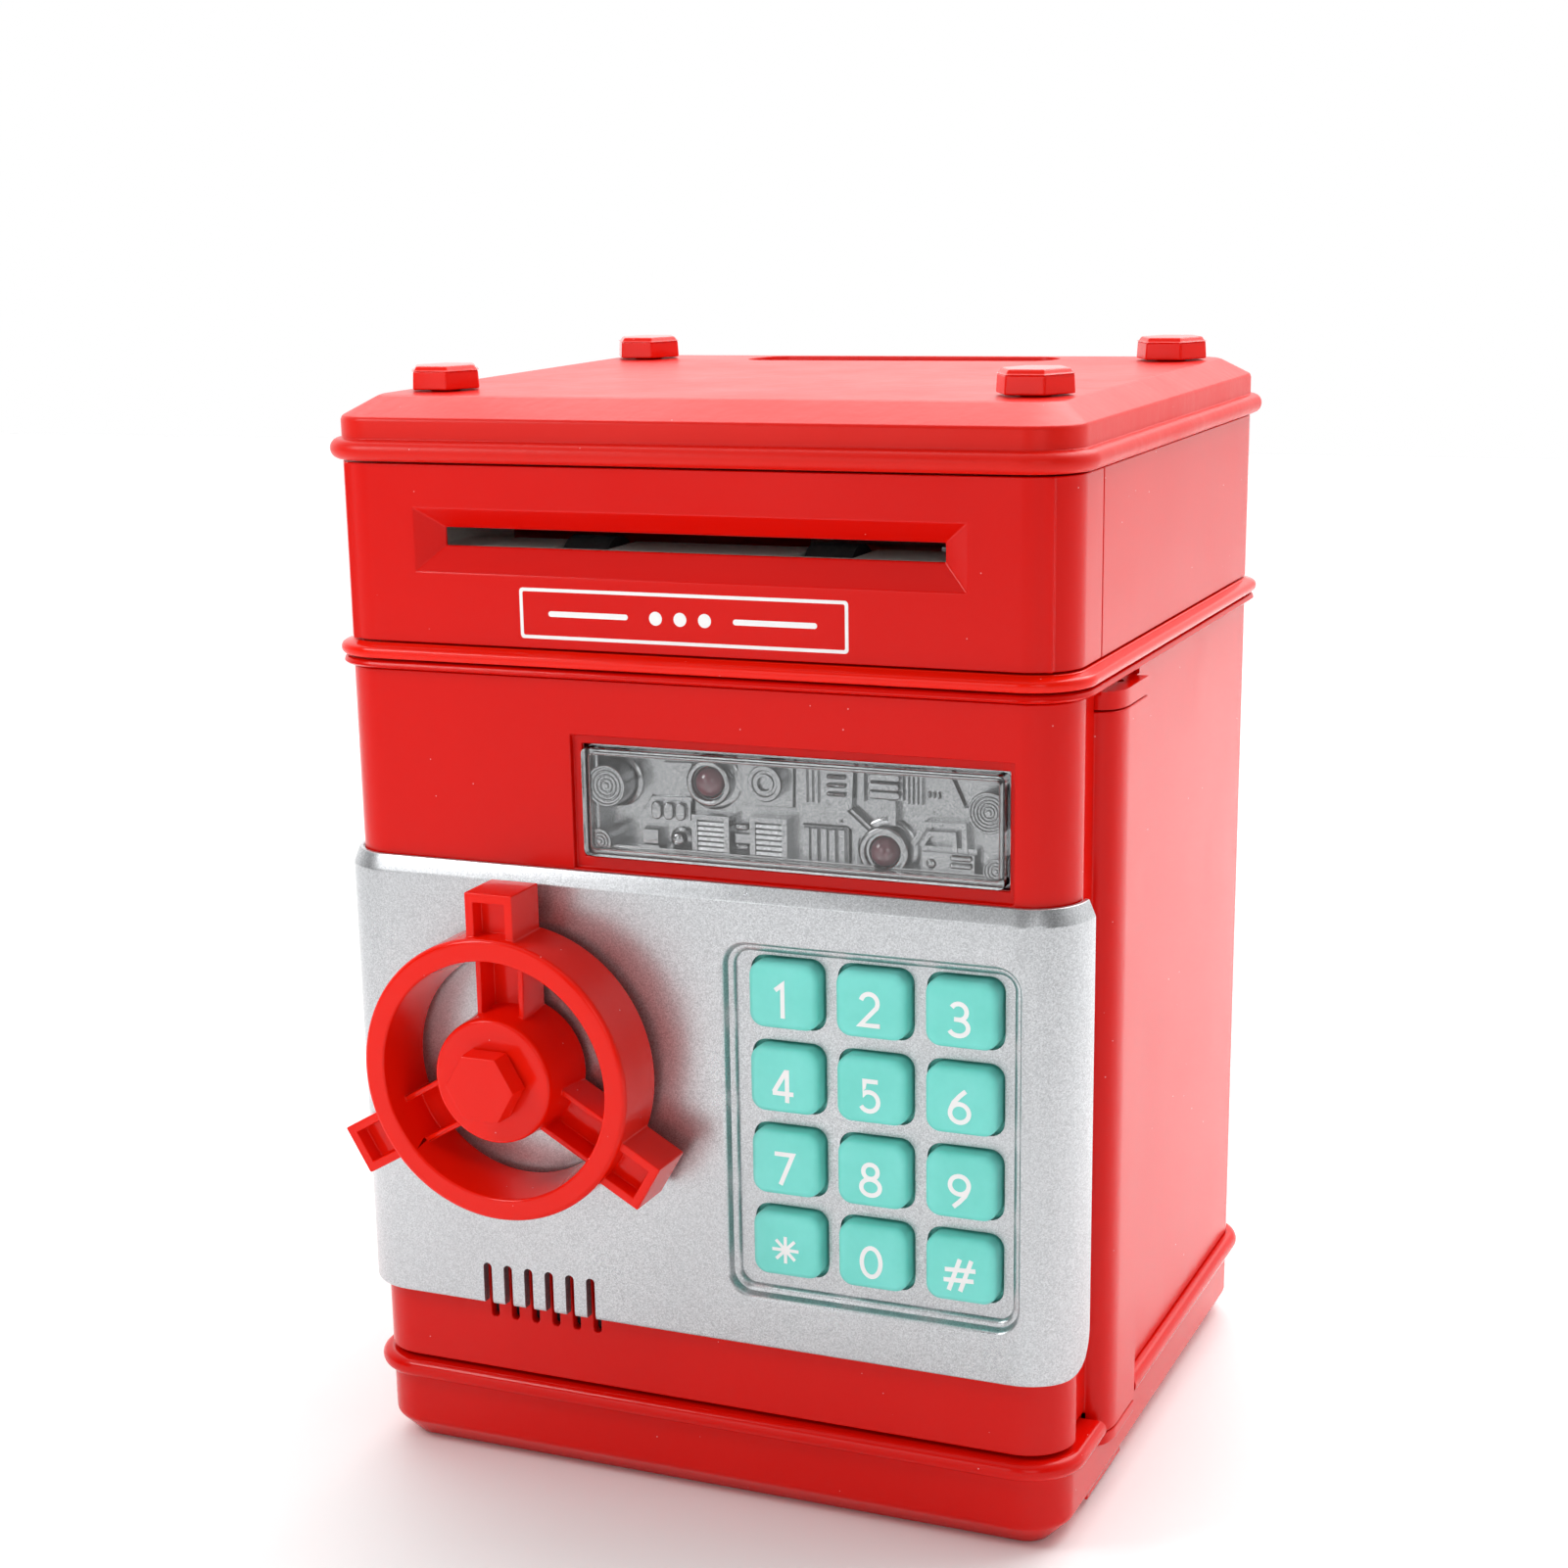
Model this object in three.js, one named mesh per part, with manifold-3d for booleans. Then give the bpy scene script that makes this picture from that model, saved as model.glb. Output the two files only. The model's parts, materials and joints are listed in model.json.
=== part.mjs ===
// A toy safe coin bank: a red cabinet with a swinging door, a hand wheel that throws a lock bolt,
// a twelve-key pad, a bill feeder behind a front slot and a coin chute under a slot in the top.
// Millimetres, +Z up, the door faces -Y, and the origin is the centre of the underside.
import * as THREE from "three";
import { mergeVertices } from "three/addons/utils/BufferGeometryUtils.js";
import Module from "manifold-3d";

const wasm = await Module();
wasm.setup();

// ---------------------------------------------------------------- driving dimensions
const HALF_WIDTH = 63; // cabinet walls, beads stand outside them
const HALF_DEPTH = 58;
const CORNER = 8; // radius of the cabinet's upright corners
const WALL = 2;
const BEAD = 2; // how far a bead stands out
const GAP = 0.3; // between pieces that lie on each other
const CORNER_STEPS = 5;

const BASE_BEAD_Z = 14.8;
const DECK_Z = 141.3;
const CAP_BEAD_Z = 174.9;
const BEAD_HALF = 1.7;
const BASE_TOP = BASE_BEAD_Z + BEAD_HALF;
const CASE_BOTTOM = BASE_TOP + 0.4;
const CASE_FLOOR = CASE_BOTTOM + WALL;
const CASE_LIP_Z = 139.7;
const DECK_TOP = 143.8;
const UPPER_BOTTOM = DECK_TOP + GAP;
const CAP_BOTTOM = CAP_BEAD_Z - BEAD_HALF;
const UPPER_TOP = CAP_BOTTOM - GAP;
const CAP_TOP = 183.1;
const CAP_FLAT = { hw: 58.3, hd: 50, r: 4 };
const CHAMFER_Z = 180;
const FASCIA_BACK = -41.8;

const HINGE = { x: 61, y: -27.5 };
const PIN_R = 1.5;
const BORE_R = 1.6;
const COLUMN = { bottom: 13.2, top: 135, outer: 65, inner: 57.5, front: -38.2, back: -21.6 };
const EAR = { lowBottom: 10.8, lowTop: 12.9, highBottom: 135.3, highTop: 138.1 };

const FRONT = -HALF_DEPTH; // the door's and the fascia's front face
const DOOR_BOTTOM = 17.2;
const DOOR_TOP = 139.4;
const DOOR_RETURN = -49.5; // where the door's wrapped corners end
const BOX = { left: -56, right: 61, back: -38.3 };

const PLATE = { bottom: 30.2, face: 105.7, top: 108.2, proud: 2, under: GAP };
const PLATE_FRONT = FRONT - PLATE.proud;
const PAD = { left: 6.7, right: 56.4, bottom: 38.8, top: 98.8, r: 4, floor: -57.5, back: -56.3 };
const KEY = { w: 11.8, h: 10.9, r: 2.4, front: -60.6, lip: 1, lipBack: -54.9, travel: 1.5 };
const KEY_COLUMNS = [17.15, 32, 46.85];
const KEY_ROWS = [90.8, 76.75, 62.7, 48.65];
const KEY_NAMES = ["1", "2", "3", "4", "5", "6", "7", "8", "9", "star", "0", "hash"];

const WHEEL = {
  x: -28.9,
  z: 75.3,
  front: -73,
  back: -61.6,
  outer: 24,
  inner: 20.2,
  innerBack: 19.2,
  disc: 20.3,
};
const HUB_R = 10.6;
const SPOKE_ANGLES = [90, 210, 330].map(THREE.MathUtils.degToRad);
const GRIP = { width: 8.6, reach: 31.2, front: -71.6, back: -62.3 };
const SHAFT_R = 3;

const CRANK = { r: 6, angle: THREE.MathUtils.degToRad(60), pinR: 1.5 };
const CAM = { r: 9, front: -48.5, back: -46.5 };
const BOLT = { tip: -54.5, front: -45.2, back: -42.2, low: 76.3, high: 85.3, throwMm: 6 };
const PLUNGER = { x: -38, r: 1.3, bottom: 85.8, top: 104 };

const LENS = { left: -18, right: 53.2, bottom: 110.7, top: 128.5, front: -58.5 };
const LAMPS = [
  ["lamp_left", 2.5, 123.2],
  ["lamp_right", 32.2, 114.1],
];
const TRAY = { floor: -51.3, back: -50.3, seat: -54.3 };
const SPEAKER = {
  x: -28.8,
  z: 32.4,
  slots: 6,
  pitch: 3.94,
  width: 1.4,
  low: 26.8,
  high: 37.4,
};

const SLOT = {
  outerX: 47,
  outerLow: 155.6,
  outerHigh: 166,
  innerX: 42.6,
  innerLow: 159.7,
  innerHigh: 162.6,
};
const COIN_SLOT = { y: 42, halfX: 14, halfY: 1.7 };
const BOLT_SPOTS = [
  ["cap_bolt_front_left", -51, -38],
  ["cap_bolt_front_right", 51, -38],
  ["cap_bolt_back_left", -51, 41],
  ["cap_bolt_back_right", 51, 41],
];

const FEED = {
  y: -44,
  z: 154.6,
  rollerR: 6,
  shaftR: 1.5,
  pinchZ: 167.2,
  pinchR: 5,
  pinchShaftR: 1.25,
};
const GEAR = { module: 0.7, wheelTeeth: 24, pinionTeeth: 10, x0: 49, x1: 52.5 };
const MOTOR_Y = FEED.y + (GEAR.module * (GEAR.wheelTeeth + GEAR.pinionTeeth)) / 2 + 0.2;
const SIDE_PLATE = { inner: 46, outer: 48, front: -54.2, back: -25.5, bottom: 144.2, top: 171.2 };

const CELL = { r: 7, half: 24.5, nubR: 2.7, nubEnd: 25.2, z: 9.3, rows: [12.3, 26.6, 40.9] };
const BAY = { x: 28.4, front: 4.4, back: 52.5 };
const BAY_SCREW = { x: 0, y: 49.6 };

// ---------------------------------------------------------------- materials
const plastic = (color, roughness = 0.25, metalness = 0) =>
  new THREE.MeshStandardMaterial({ color, roughness, metalness });
const RED = plastic(0xd31a0c);
const BRIGHT_RED = plastic(0xf03020);
const SILVER = plastic(0xb4b7ba, 0.4, 0.6);
const TURQUOISE = plastic(0x74d3c2, 0.45);
const CLEAR = plastic(0xf2f6f8, 0.05);
const LAMP = plastic(0x5a1c24, 0.1);
const STEEL = plastic(0xb9bcc0, 0.3, 1);
const BLACK = plastic(0x202022, 0.6);
const WHITE = plastic(0xe6e4df, 0.5);
const GREEN_BOARD = plastic(0x1c5b34, 0.5);
const BRASS = plastic(0xb08d3c, 0.35, 1);
const CELL_SLEEVE = plastic(0x2f6a3a, 0.4);

// ---------------------------------------------------------------- solids
function toSolid(geometry) {
  geometry.deleteAttribute("normal");
  geometry.deleteAttribute("uv");
  const merged = mergeVertices(geometry, 1e-4);
  return new wasm.Manifold(
    new wasm.Mesh({
      numProp: 3,
      vertProperties: new Float32Array(merged.attributes.position.array),
      triVerts: new Uint32Array(merged.index.array),
    }),
  );
}

const AXES = {
  X: new THREE.Matrix4().set(0, 0, 1, 0, 1, 0, 0, 0, 0, 1, 0, 0, 0, 0, 0, 1),
  Y: new THREE.Matrix4().set(1, 0, 0, 0, 0, 0, -1, 0, 0, 1, 0, 0, 0, 0, 0, 1),
  Z: new THREE.Matrix4(),
};

// A flat outline carried along an axis. The outline's own axes are the other two, in X, Y, Z order.
function prism(axis, shape, from, to, curveSegments = 3) {
  const geometry = new THREE.ExtrudeGeometry(shape, {
    depth: to - from,
    bevelEnabled: false,
    curveSegments,
  });
  geometry.applyMatrix4(AXES[axis]);
  if (axis === "X") geometry.translate(from, 0, 0);
  if (axis === "Y") geometry.translate(0, to, 0);
  if (axis === "Z") geometry.translate(0, 0, from);
  return toSolid(geometry);
}

function box(x0, x1, y0, y1, z0, z1) {
  const geometry = new THREE.BoxGeometry(x1 - x0, y1 - y0, z1 - z0);
  return toSolid(geometry.translate((x0 + x1) / 2, (y0 + y1) / 2, (z0 + z1) / 2));
}

// A round bar, or a cone where the two radii differ. u and v place it across its axis, in X, Y, Z order.
function rod(axis, u, v, from, to, r0, r1 = r0, sides = 24) {
  const geometry = new THREE.CylinderGeometry(r1, r0, to - from, sides, 1, false, Math.PI / 6);
  const middle = (from + to) / 2;
  if (axis === "X") geometry.rotateZ(-Math.PI / 2).translate(middle, u, v);
  if (axis === "Y") geometry.translate(u, middle, v);
  if (axis === "Z") geometry.rotateX(Math.PI / 2).translate(u, v, middle);
  return toSolid(geometry);
}

function roundedRect(x0, y0, x1, y1, r) {
  const shape = new THREE.Shape();
  shape.moveTo(x0 + r, y0);
  shape.absarc(x1 - r, y0 + r, r, -Math.PI / 2, 0);
  shape.absarc(x1 - r, y1 - r, r, 0, Math.PI / 2);
  shape.absarc(x0 + r, y1 - r, r, Math.PI / 2, Math.PI);
  shape.absarc(x0 + r, y0 + r, r, Math.PI, Math.PI * 1.5);
  return shape;
}

// The cabinet's plan outline, moved out by offset.
const outline = (offset, z) => ({
  hw: HALF_WIDTH + offset,
  hd: HALF_DEPTH + offset,
  r: Math.max(CORNER + offset, 0.5),
  z,
});

const bead = (z) =>
  [
    [0, -BEAD_HALF],
    [0.65, -0.85 * BEAD_HALF],
    [1, -0.35 * BEAD_HALF],
    [1, 0.35 * BEAD_HALF],
    [0.65, 0.85 * BEAD_HALF],
    [0, BEAD_HALF],
  ].map(([out, up]) => outline(out * BEAD, z + up));

// A solid skinned over rounded rectangles stacked in z.
function loft(rings) {
  const position = [];
  const index = [];
  const perRing = 4 * (CORNER_STEPS + 1);
  for (const { hw, hd, r, z } of rings)
    [
      [1, 1],
      [-1, 1],
      [-1, -1],
      [1, -1],
    ].forEach(([sx, sy], corner) => {
      for (let i = 0; i <= CORNER_STEPS; i++) {
        const a = ((corner + i / CORNER_STEPS) * Math.PI) / 2;
        position.push(sx * (hw - r) + r * Math.cos(a), sy * (hd - r) + r * Math.sin(a), z);
      }
    });
  for (let ring = 0; ring + 1 < rings.length; ring++)
    for (let i = 0; i < perRing; i++) {
      const a = ring * perRing + i;
      const b = ring * perRing + ((i + 1) % perRing);
      index.push(a, b, b + perRing, a, b + perRing, a + perRing);
    }
  const last = (rings.length - 1) * perRing;
  for (let i = 1; i + 1 < perRing; i++) {
    index.push(0, i + 1, i);
    index.push(last, last + i, last + i + 1);
  }
  const geometry = new THREE.BufferGeometry();
  geometry.setAttribute("position", new THREE.Float32BufferAttribute(position, 3));
  geometry.setIndex(index);
  return toSolid(geometry);
}

// A box whose section changes from one rectangle at y0 to another at y1.
function taper(y0, [ax0, ax1, az0, az1], y1, [bx0, bx1, bz0, bz1]) {
  const geometry = new THREE.BoxGeometry(2, 2, 2);
  const position = geometry.attributes.position;
  for (let i = 0; i < position.count; i++) {
    const atStart = position.getY(i) < 0;
    const [x0, x1, z0, z1] = atStart ? [ax0, ax1, az0, az1] : [bx0, bx1, bz0, bz1];
    position.setXYZ(
      i,
      position.getX(i) < 0 ? x0 : x1,
      atStart ? y0 : y1,
      position.getZ(i) < 0 ? z0 : z1,
    );
  }
  return toSolid(geometry);
}

// A closed profile of [radius, y] points turned about an axis along Y.
function turned(profile, x, z, segments) {
  const points = profile.map(([r, y]) => new THREE.Vector2(r, y));
  return toSolid(new THREE.LatheGeometry(points, segments).translate(x, 0, z));
}

const join = (...solids) => solids.reduce((a, b) => a.add(b));
const cut = (solid, ...tools) => tools.reduce((a, b) => a.subtract(b), solid);

const model = new THREE.Group();

function piece(name, solid, material) {
  const { vertProperties, triVerts } = solid.getMesh();
  const geometry = new THREE.BufferGeometry();
  geometry.setAttribute("position", new THREE.BufferAttribute(new Float32Array(vertProperties), 3));
  geometry.setIndex(new THREE.BufferAttribute(new Uint32Array(triVerts), 1));
  const mesh = new THREE.Mesh(geometry.toNonIndexed(), material);
  mesh.geometry.computeVertexNormals();
  mesh.name = name;
  model.add(mesh);
}

// ---------------------------------------------------------------- base and battery bay
// The hinge column's plan, grown by a margin: rounded at the front, flat outside.
function columnPlan(margin = 0) {
  const { outer, inner, front, back } = COLUMN;
  const shape = new THREE.Shape();
  shape.moveTo(inner - margin, front - margin);
  shape.lineTo(60.5, front - margin);
  shape.quadraticCurveTo(outer + margin, front - margin, outer + margin, -32);
  shape.lineTo(outer + margin, back + margin);
  shape.lineTo(inner - margin, back + margin);
  shape.closePath();
  return shape;
}

function baseTray() {
  const shell = loft([outline(-4, 0), outline(0, 4.3), ...bead(BASE_BEAD_Z)]);
  const hollow = loft([outline(-6, WALL), outline(-2.2, 6.5), outline(-2.2, 14.5)]);
  const mouth = box(-60, 60, -36, 55, 14, BASE_TOP + 1);
  const hingeBlock = box(54, 62, -39, -19, 1.5, EAR.lowTop);
  const ear = prism("Z", columnPlan(), EAR.lowBottom, EAR.lowTop);
  const bayWalls = join(
    box(-30, -28.7, BAY.front - 1, 50.4, 1.5, 15.5),
    box(28.7, 30, BAY.front - 1, 50.4, 1.5, 15.5),
    box(-30, 30, 48.5, 50.4, 2.1, 15.5),
    box(-3, 3, 48.3, 51.5, 2.1, 15.5),
  );
  // Room for the column as the door swings: its front corners reach further out than its back ones.
  const frontSweep = rod("Z", HINGE.x, HINGE.y, EAR.lowTop, BASE_TOP + 1, 11.6, 11.6, 36);
  const columnNotch = join(
    prism("Z", columnPlan(0.4), EAR.lowTop, BASE_TOP + 1),
    rod("Z", HINGE.x, HINGE.y, EAR.lowTop, BASE_TOP + 1, 7.8, 7.8, 24),
    frontSweep.intersect(box(COLUMN.inner - 0.4, 70, -40, HINGE.y, 10, 20)),
  );
  const tray = join(cut(shell, hollow, mouth), hingeBlock, ear, bayWalls);
  return cut(
    tray,
    columnNotch,
    rod("Z", HINGE.x, HINGE.y, 5, EAR.lowTop + 1, BORE_R),
    box(-BAY.x, BAY.x, BAY.front, BAY.back, -1, 2.05),
    rod("Z", BAY_SCREW.x, BAY_SCREW.y, 1, 12, 1.25, 1.25, 12),
  );
}

function batteryCover() {
  return cut(
    box(-BAY.x + GAP, BAY.x - GAP, BAY.front + GAP, BAY.back - GAP, 0, 1.7),
    rod("Z", BAY_SCREW.x, BAY_SCREW.y, -1, 1.1, 2.3, 2.3, 16),
    rod("Z", BAY_SCREW.x, BAY_SCREW.y, -1, 3, 1.3, 1.3, 12),
    ...[-15, -9, -3, 3, 9, 15].map((x) => box(x - 0.6, x + 0.6, 9, 14, -1, 0.5)),
  );
}

function batteryCell(y) {
  return join(
    rod("X", y, CELL.z, -CELL.half, CELL.half, CELL.r),
    rod("X", y, CELL.z, CELL.half - 1, CELL.nubEnd, CELL.nubR, CELL.nubR, 16),
  );
}

function batteryContact(side) {
  const [near, far] = [27.7, 28.2].map((x) => side * x);
  const plate = box(Math.min(near, far), Math.max(near, far), 7, 47, 4, 14);
  const tips = CELL.rows.map((y) => {
    const tip = side * (side > 0 ? 25.5 : 24.8);
    return rod("X", y, CELL.z, Math.min(tip, near), Math.max(tip, near), 2.2, 2.2, 12);
  });
  return join(plate, ...tips);
}

piece("base_tray", baseTray(), RED);
piece("battery_cover", batteryCover(), RED);
piece(
  "battery_cover_screw",
  join(
    rod("Z", BAY_SCREW.x, BAY_SCREW.y, 0.1, 0.9, 2, 2, 16),
    rod("Z", BAY_SCREW.x, BAY_SCREW.y, 0.8, 9, 1, 1, 12),
  ),
  STEEL,
);
CELL.rows.forEach((y, i) => piece(`battery_cell_${i + 1}`, batteryCell(y), CELL_SLEEVE));
piece("battery_contact_left", batteryContact(-1), STEEL);
piece("battery_contact_right", batteryContact(1), STEEL);

// ---------------------------------------------------------------- lower cabinet
function caseShell() {
  const walls = loft([
    outline(0, CASE_BOTTOM),
    outline(0, CASE_LIP_Z),
    outline(1.2, CASE_LIP_Z + 0.2),
    outline(1.5, CASE_LIP_Z + 0.7),
    outline(1.2, DECK_Z - GAP),
  ]);
  const inside = loft([outline(-WALL, CASE_FLOOR), outline(-WALL, CASE_LIP_Z - 1.5)]);
  const inLip = loft([outline(-7, CASE_LIP_Z - 2), outline(-7, DECK_Z + 1)]);
  const doorway = box(-70, 70, -70, DOOR_RETURN + GAP, 10, CASE_LIP_Z);
  const doorBay = box(-61, 70, -70, -37.8, 10, CASE_LIP_Z);
  const columnBay = box(53, 70, -70, -19.9, 10, CASE_LIP_Z);
  const ear = join(
    prism("Z", columnPlan(), EAR.highBottom, EAR.highTop),
    box(COLUMN.inner, 63, -22, -19, EAR.highBottom, EAR.highTop),
    box(COLUMN.inner, 62, COLUMN.front, -19, EAR.highTop - 0.5, CASE_LIP_Z + 0.5),
  );
  const pinBore = rod("Z", HINGE.x, HINGE.y, EAR.highBottom - 1, 138.2, BORE_R);
  return cut(join(cut(walls, inside, inLip, doorway, doorBay, columnBay), ear), pinBore);
}

function latchStrike() {
  const bracket = box(-60.7, -57.3, -48.2, -38.6, 70, 92);
  return cut(
    bracket,
    box(-59.9, -57, -45.7, -38, 72, 90),
    box(-62, -57, -45.7, -41.7, 75.5, 86.1),
  );
}

piece("case_shell", caseShell(), RED);
piece("latch_strike", latchStrike(), STEEL);
piece("hinge_pin_bottom", rod("Z", HINGE.x, HINGE.y, 5.5, 22, PIN_R), STEEL);
piece("hinge_pin_top", rod("Z", HINGE.x, HINGE.y, 126, 137.7, PIN_R), STEEL);

// ---------------------------------------------------------------- middle deck, upper box and cap
piece(
  "middle_deck",
  cut(
    loft([
      outline(1.3, DECK_Z),
      outline(BEAD, DECK_Z + 0.6),
      outline(BEAD, DECK_Z + 1.6),
      outline(1.3, DECK_Z + 2.2),
      outline(0, DECK_TOP),
    ]),
    box(-38, 38, -20, 8, DECK_Z - 1, DECK_TOP + 1),
    box(-15.5, 15.5, COIN_SLOT.y - 2.6, COIN_SLOT.y + 2.6, DECK_Z - 1, DECK_TOP + 1),
  ),
  BRIGHT_RED,
);

function upperRing(wall) {
  return cut(
    loft([outline(0, UPPER_BOTTOM), outline(0, UPPER_TOP)]),
    loft([outline(-wall, UPPER_BOTTOM - 1), outline(-wall, UPPER_TOP + 1)]),
  );
}

function upperFascia() {
  const front = box(-60, 60, FRONT + 1, FRONT + 3.4, UPPER_BOTTOM, UPPER_TOP);
  const { outerX, outerLow, outerHigh, innerX, innerLow, innerHigh } = SLOT;
  const bevel = taper(
    FRONT - 0.001,
    [-outerX, outerX, outerLow, outerHigh],
    FRONT + 3,
    [-innerX, innerX, innerLow, innerHigh],
  );
  return cut(
    join(upperRing(WALL), front),
    box(-70, 70, FASCIA_BACK, 70, 140, 180),
    bevel,
    box(-innerX, innerX, FRONT, FRONT + 5, innerLow, innerHigh),
  );
}

function topCap() {
  const shell = loft([...bead(CAP_BEAD_Z), outline(0, CHAMFER_Z), { ...CAP_FLAT, z: CAP_TOP }]);
  const hollow = loft([
    outline(-WALL, CAP_BOTTOM - 1),
    outline(-WALL, CHAMFER_Z - 1.2),
    { hw: 56.5, hd: 48.2, r: 3, z: CAP_TOP - WALL },
  ]);
  const dish = roundedRect(-30, COIN_SLOT.y - 6, 30, COIN_SLOT.y + 6, 5.5);
  return cut(
    shell,
    hollow,
    prism("Z", dish, CAP_TOP - 0.7, CAP_TOP + 1),
    box(
      -COIN_SLOT.halfX,
      COIN_SLOT.halfX,
      COIN_SLOT.y - COIN_SLOT.halfY,
      COIN_SLOT.y + COIN_SLOT.halfY,
      CAP_TOP - 5,
      CAP_TOP + 1,
    ),
    ...BOLT_SPOTS.map(([, x, y]) => rod("Z", x, y, CAP_TOP - 5, CAP_TOP + 1, 2.6)),
  );
}

const capBolt = (x, y) =>
  join(
    rod("Z", x, y, CAP_TOP + GAP, 186.5, 6.3, 6.2, 6),
    rod("Z", x, y, 186.5, 187.2, 6.2, 5.4, 6),
    rod("Z", x, y, CAP_TOP - 7, CAP_TOP + 1, 2.3, 2.3, 16),
  );

piece("upper_shell", cut(upperRing(WALL), box(-70, 70, -70, FASCIA_BACK + GAP, 140, 180)), RED);
piece("upper_fascia", upperFascia(), RED);
piece("top_cap", topCap(), RED);
BOLT_SPOTS.forEach(([name, x, y]) => piece(name, capBolt(x, y), BRIGHT_RED));
piece(
  "coin_chute",
  cut(
    box(-17, 17, COIN_SLOT.y - 3.8, COIN_SLOT.y + 3.8, UPPER_BOTTOM, 180.6),
    box(-15, 15, COIN_SLOT.y - 2.3, COIN_SLOT.y + 2.3, 140, 182),
  ),
  WHITE,
);

// ---------------------------------------------------------------- bill feeder
// A spur gear about an axis along X: straight-flanked teeth with room to run in mesh.
function spurGear(teeth, y, z, x0, x1, phase) {
  const pitchR = (GEAR.module * teeth) / 2;
  const tip = pitchR + 0.75 * GEAR.module;
  const root = pitchR - 1.15 * GEAR.module;
  const pitchAngle = (2 * Math.PI) / teeth;
  const shape = new THREE.Shape();
  for (let i = 0; i < teeth; i++)
    [
      [-0.3, root],
      [-0.13, tip],
      [0.13, tip],
      [0.3, root],
    ].forEach(([at, r], corner) => {
      const a = phase + (i + at) * pitchAngle;
      const point = [y + r * Math.cos(a), z + r * Math.sin(a)];
      if (i || corner) shape.lineTo(...point);
      else shape.moveTo(...point);
    });
  shape.closePath();
  return prism("X", shape, x0, x1);
}

function feedFrame() {
  const { inner, outer, front, back, bottom, top } = SIDE_PLATE;
  const plates = [
    box(-outer, -inner, front, back, bottom, top),
    box(inner, outer, front, back, bottom, top),
  ];
  const shelf = box(-inner - 0.5, inner + 0.5, front, -39.6, 157.6, 159.2);
  const foot = box(-inner - 0.5, inner + 0.5, front, -51, bottom, bottom + 1.8);
  const windows = [-21, 21].map((x) => box(x - 5, x + 5, -50.4, -39, 157, 160));
  return cut(
    join(...plates, shelf, foot),
    ...windows,
    rod("X", FEED.y, FEED.z, -60, 60, FEED.shaftR + 0.1),
    rod("X", FEED.y, FEED.pinchZ, -60, 60, FEED.pinchShaftR + 0.1),
    rod("X", MOTOR_Y, FEED.z, 45, 60, 2.2),
  );
}

const feedTyre = (x) =>
  cut(
    rod("X", FEED.y, FEED.z, x - 4, x + 4, FEED.rollerR),
    rod("X", FEED.y, FEED.z, x - 5, x + 5, FEED.shaftR + GAP),
  );

piece("feed_frame", feedFrame(), WHITE);
piece("feed_shaft", rod("X", FEED.y, FEED.z, -48.6, 53.2, FEED.shaftR), STEEL);
piece("feed_tyre_left", feedTyre(-21), BLACK);
piece("feed_tyre_right", feedTyre(21), BLACK);
piece(
  "feed_gear",
  cut(
    spurGear(GEAR.wheelTeeth, FEED.y, FEED.z, GEAR.x0, GEAR.x1, 0),
    rod("X", FEED.y, FEED.z, GEAR.x0 - 1, GEAR.x1 + 1, FEED.shaftR + GAP),
  ),
  WHITE,
);
piece(
  "pinch_roller",
  join(
    rod("X", FEED.y, FEED.pinchZ, -48.6, 48.6, FEED.pinchShaftR),
    ...[-21, 21].map((x) =>
      rod("X", FEED.y, FEED.pinchZ, x - 4, x + 4, FEED.pinchR, FEED.pinchR, 16),
    ),
  ),
  WHITE,
);
piece(
  "motor_pinion",
  join(
    spurGear(GEAR.pinionTeeth, MOTOR_Y, FEED.z, GEAR.x0, GEAR.x1, Math.PI / GEAR.pinionTeeth),
    rod("X", MOTOR_Y, FEED.z, 38, GEAR.x0 + 1, 1, 1, 16),
  ),
  BRASS,
);
piece(
  "feed_motor",
  cut(
    join(
      prism("X", roundedRect(MOTOR_Y - 6, FEED.z - 5, MOTOR_Y + 6, FEED.z + 5, 3), 16, 36),
      box(36, 44, MOTOR_Y - 6, MOTOR_Y + 6, FEED.z - 5, FEED.z + 5),
    ),
    rod("X", MOTOR_Y, FEED.z, 37, 46, 1.2, 1.2, 16),
  ),
  STEEL,
);

// ---------------------------------------------------------------- door
const speakerSlots = (front, back) =>
  Array.from({ length: SPEAKER.slots }, (_, i) => {
    const x = SPEAKER.x + (i - (SPEAKER.slots - 1) / 2) * SPEAKER.pitch;
    const half = SPEAKER.width / 2;
    const slot = roundedRect(x - half, SPEAKER.low, x + half, SPEAKER.high, half * 0.98);
    return prism("Y", slot, front, back, 1);
  });

const doorPosts = [
  [-48, 28],
  [-48, 128],
];

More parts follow.
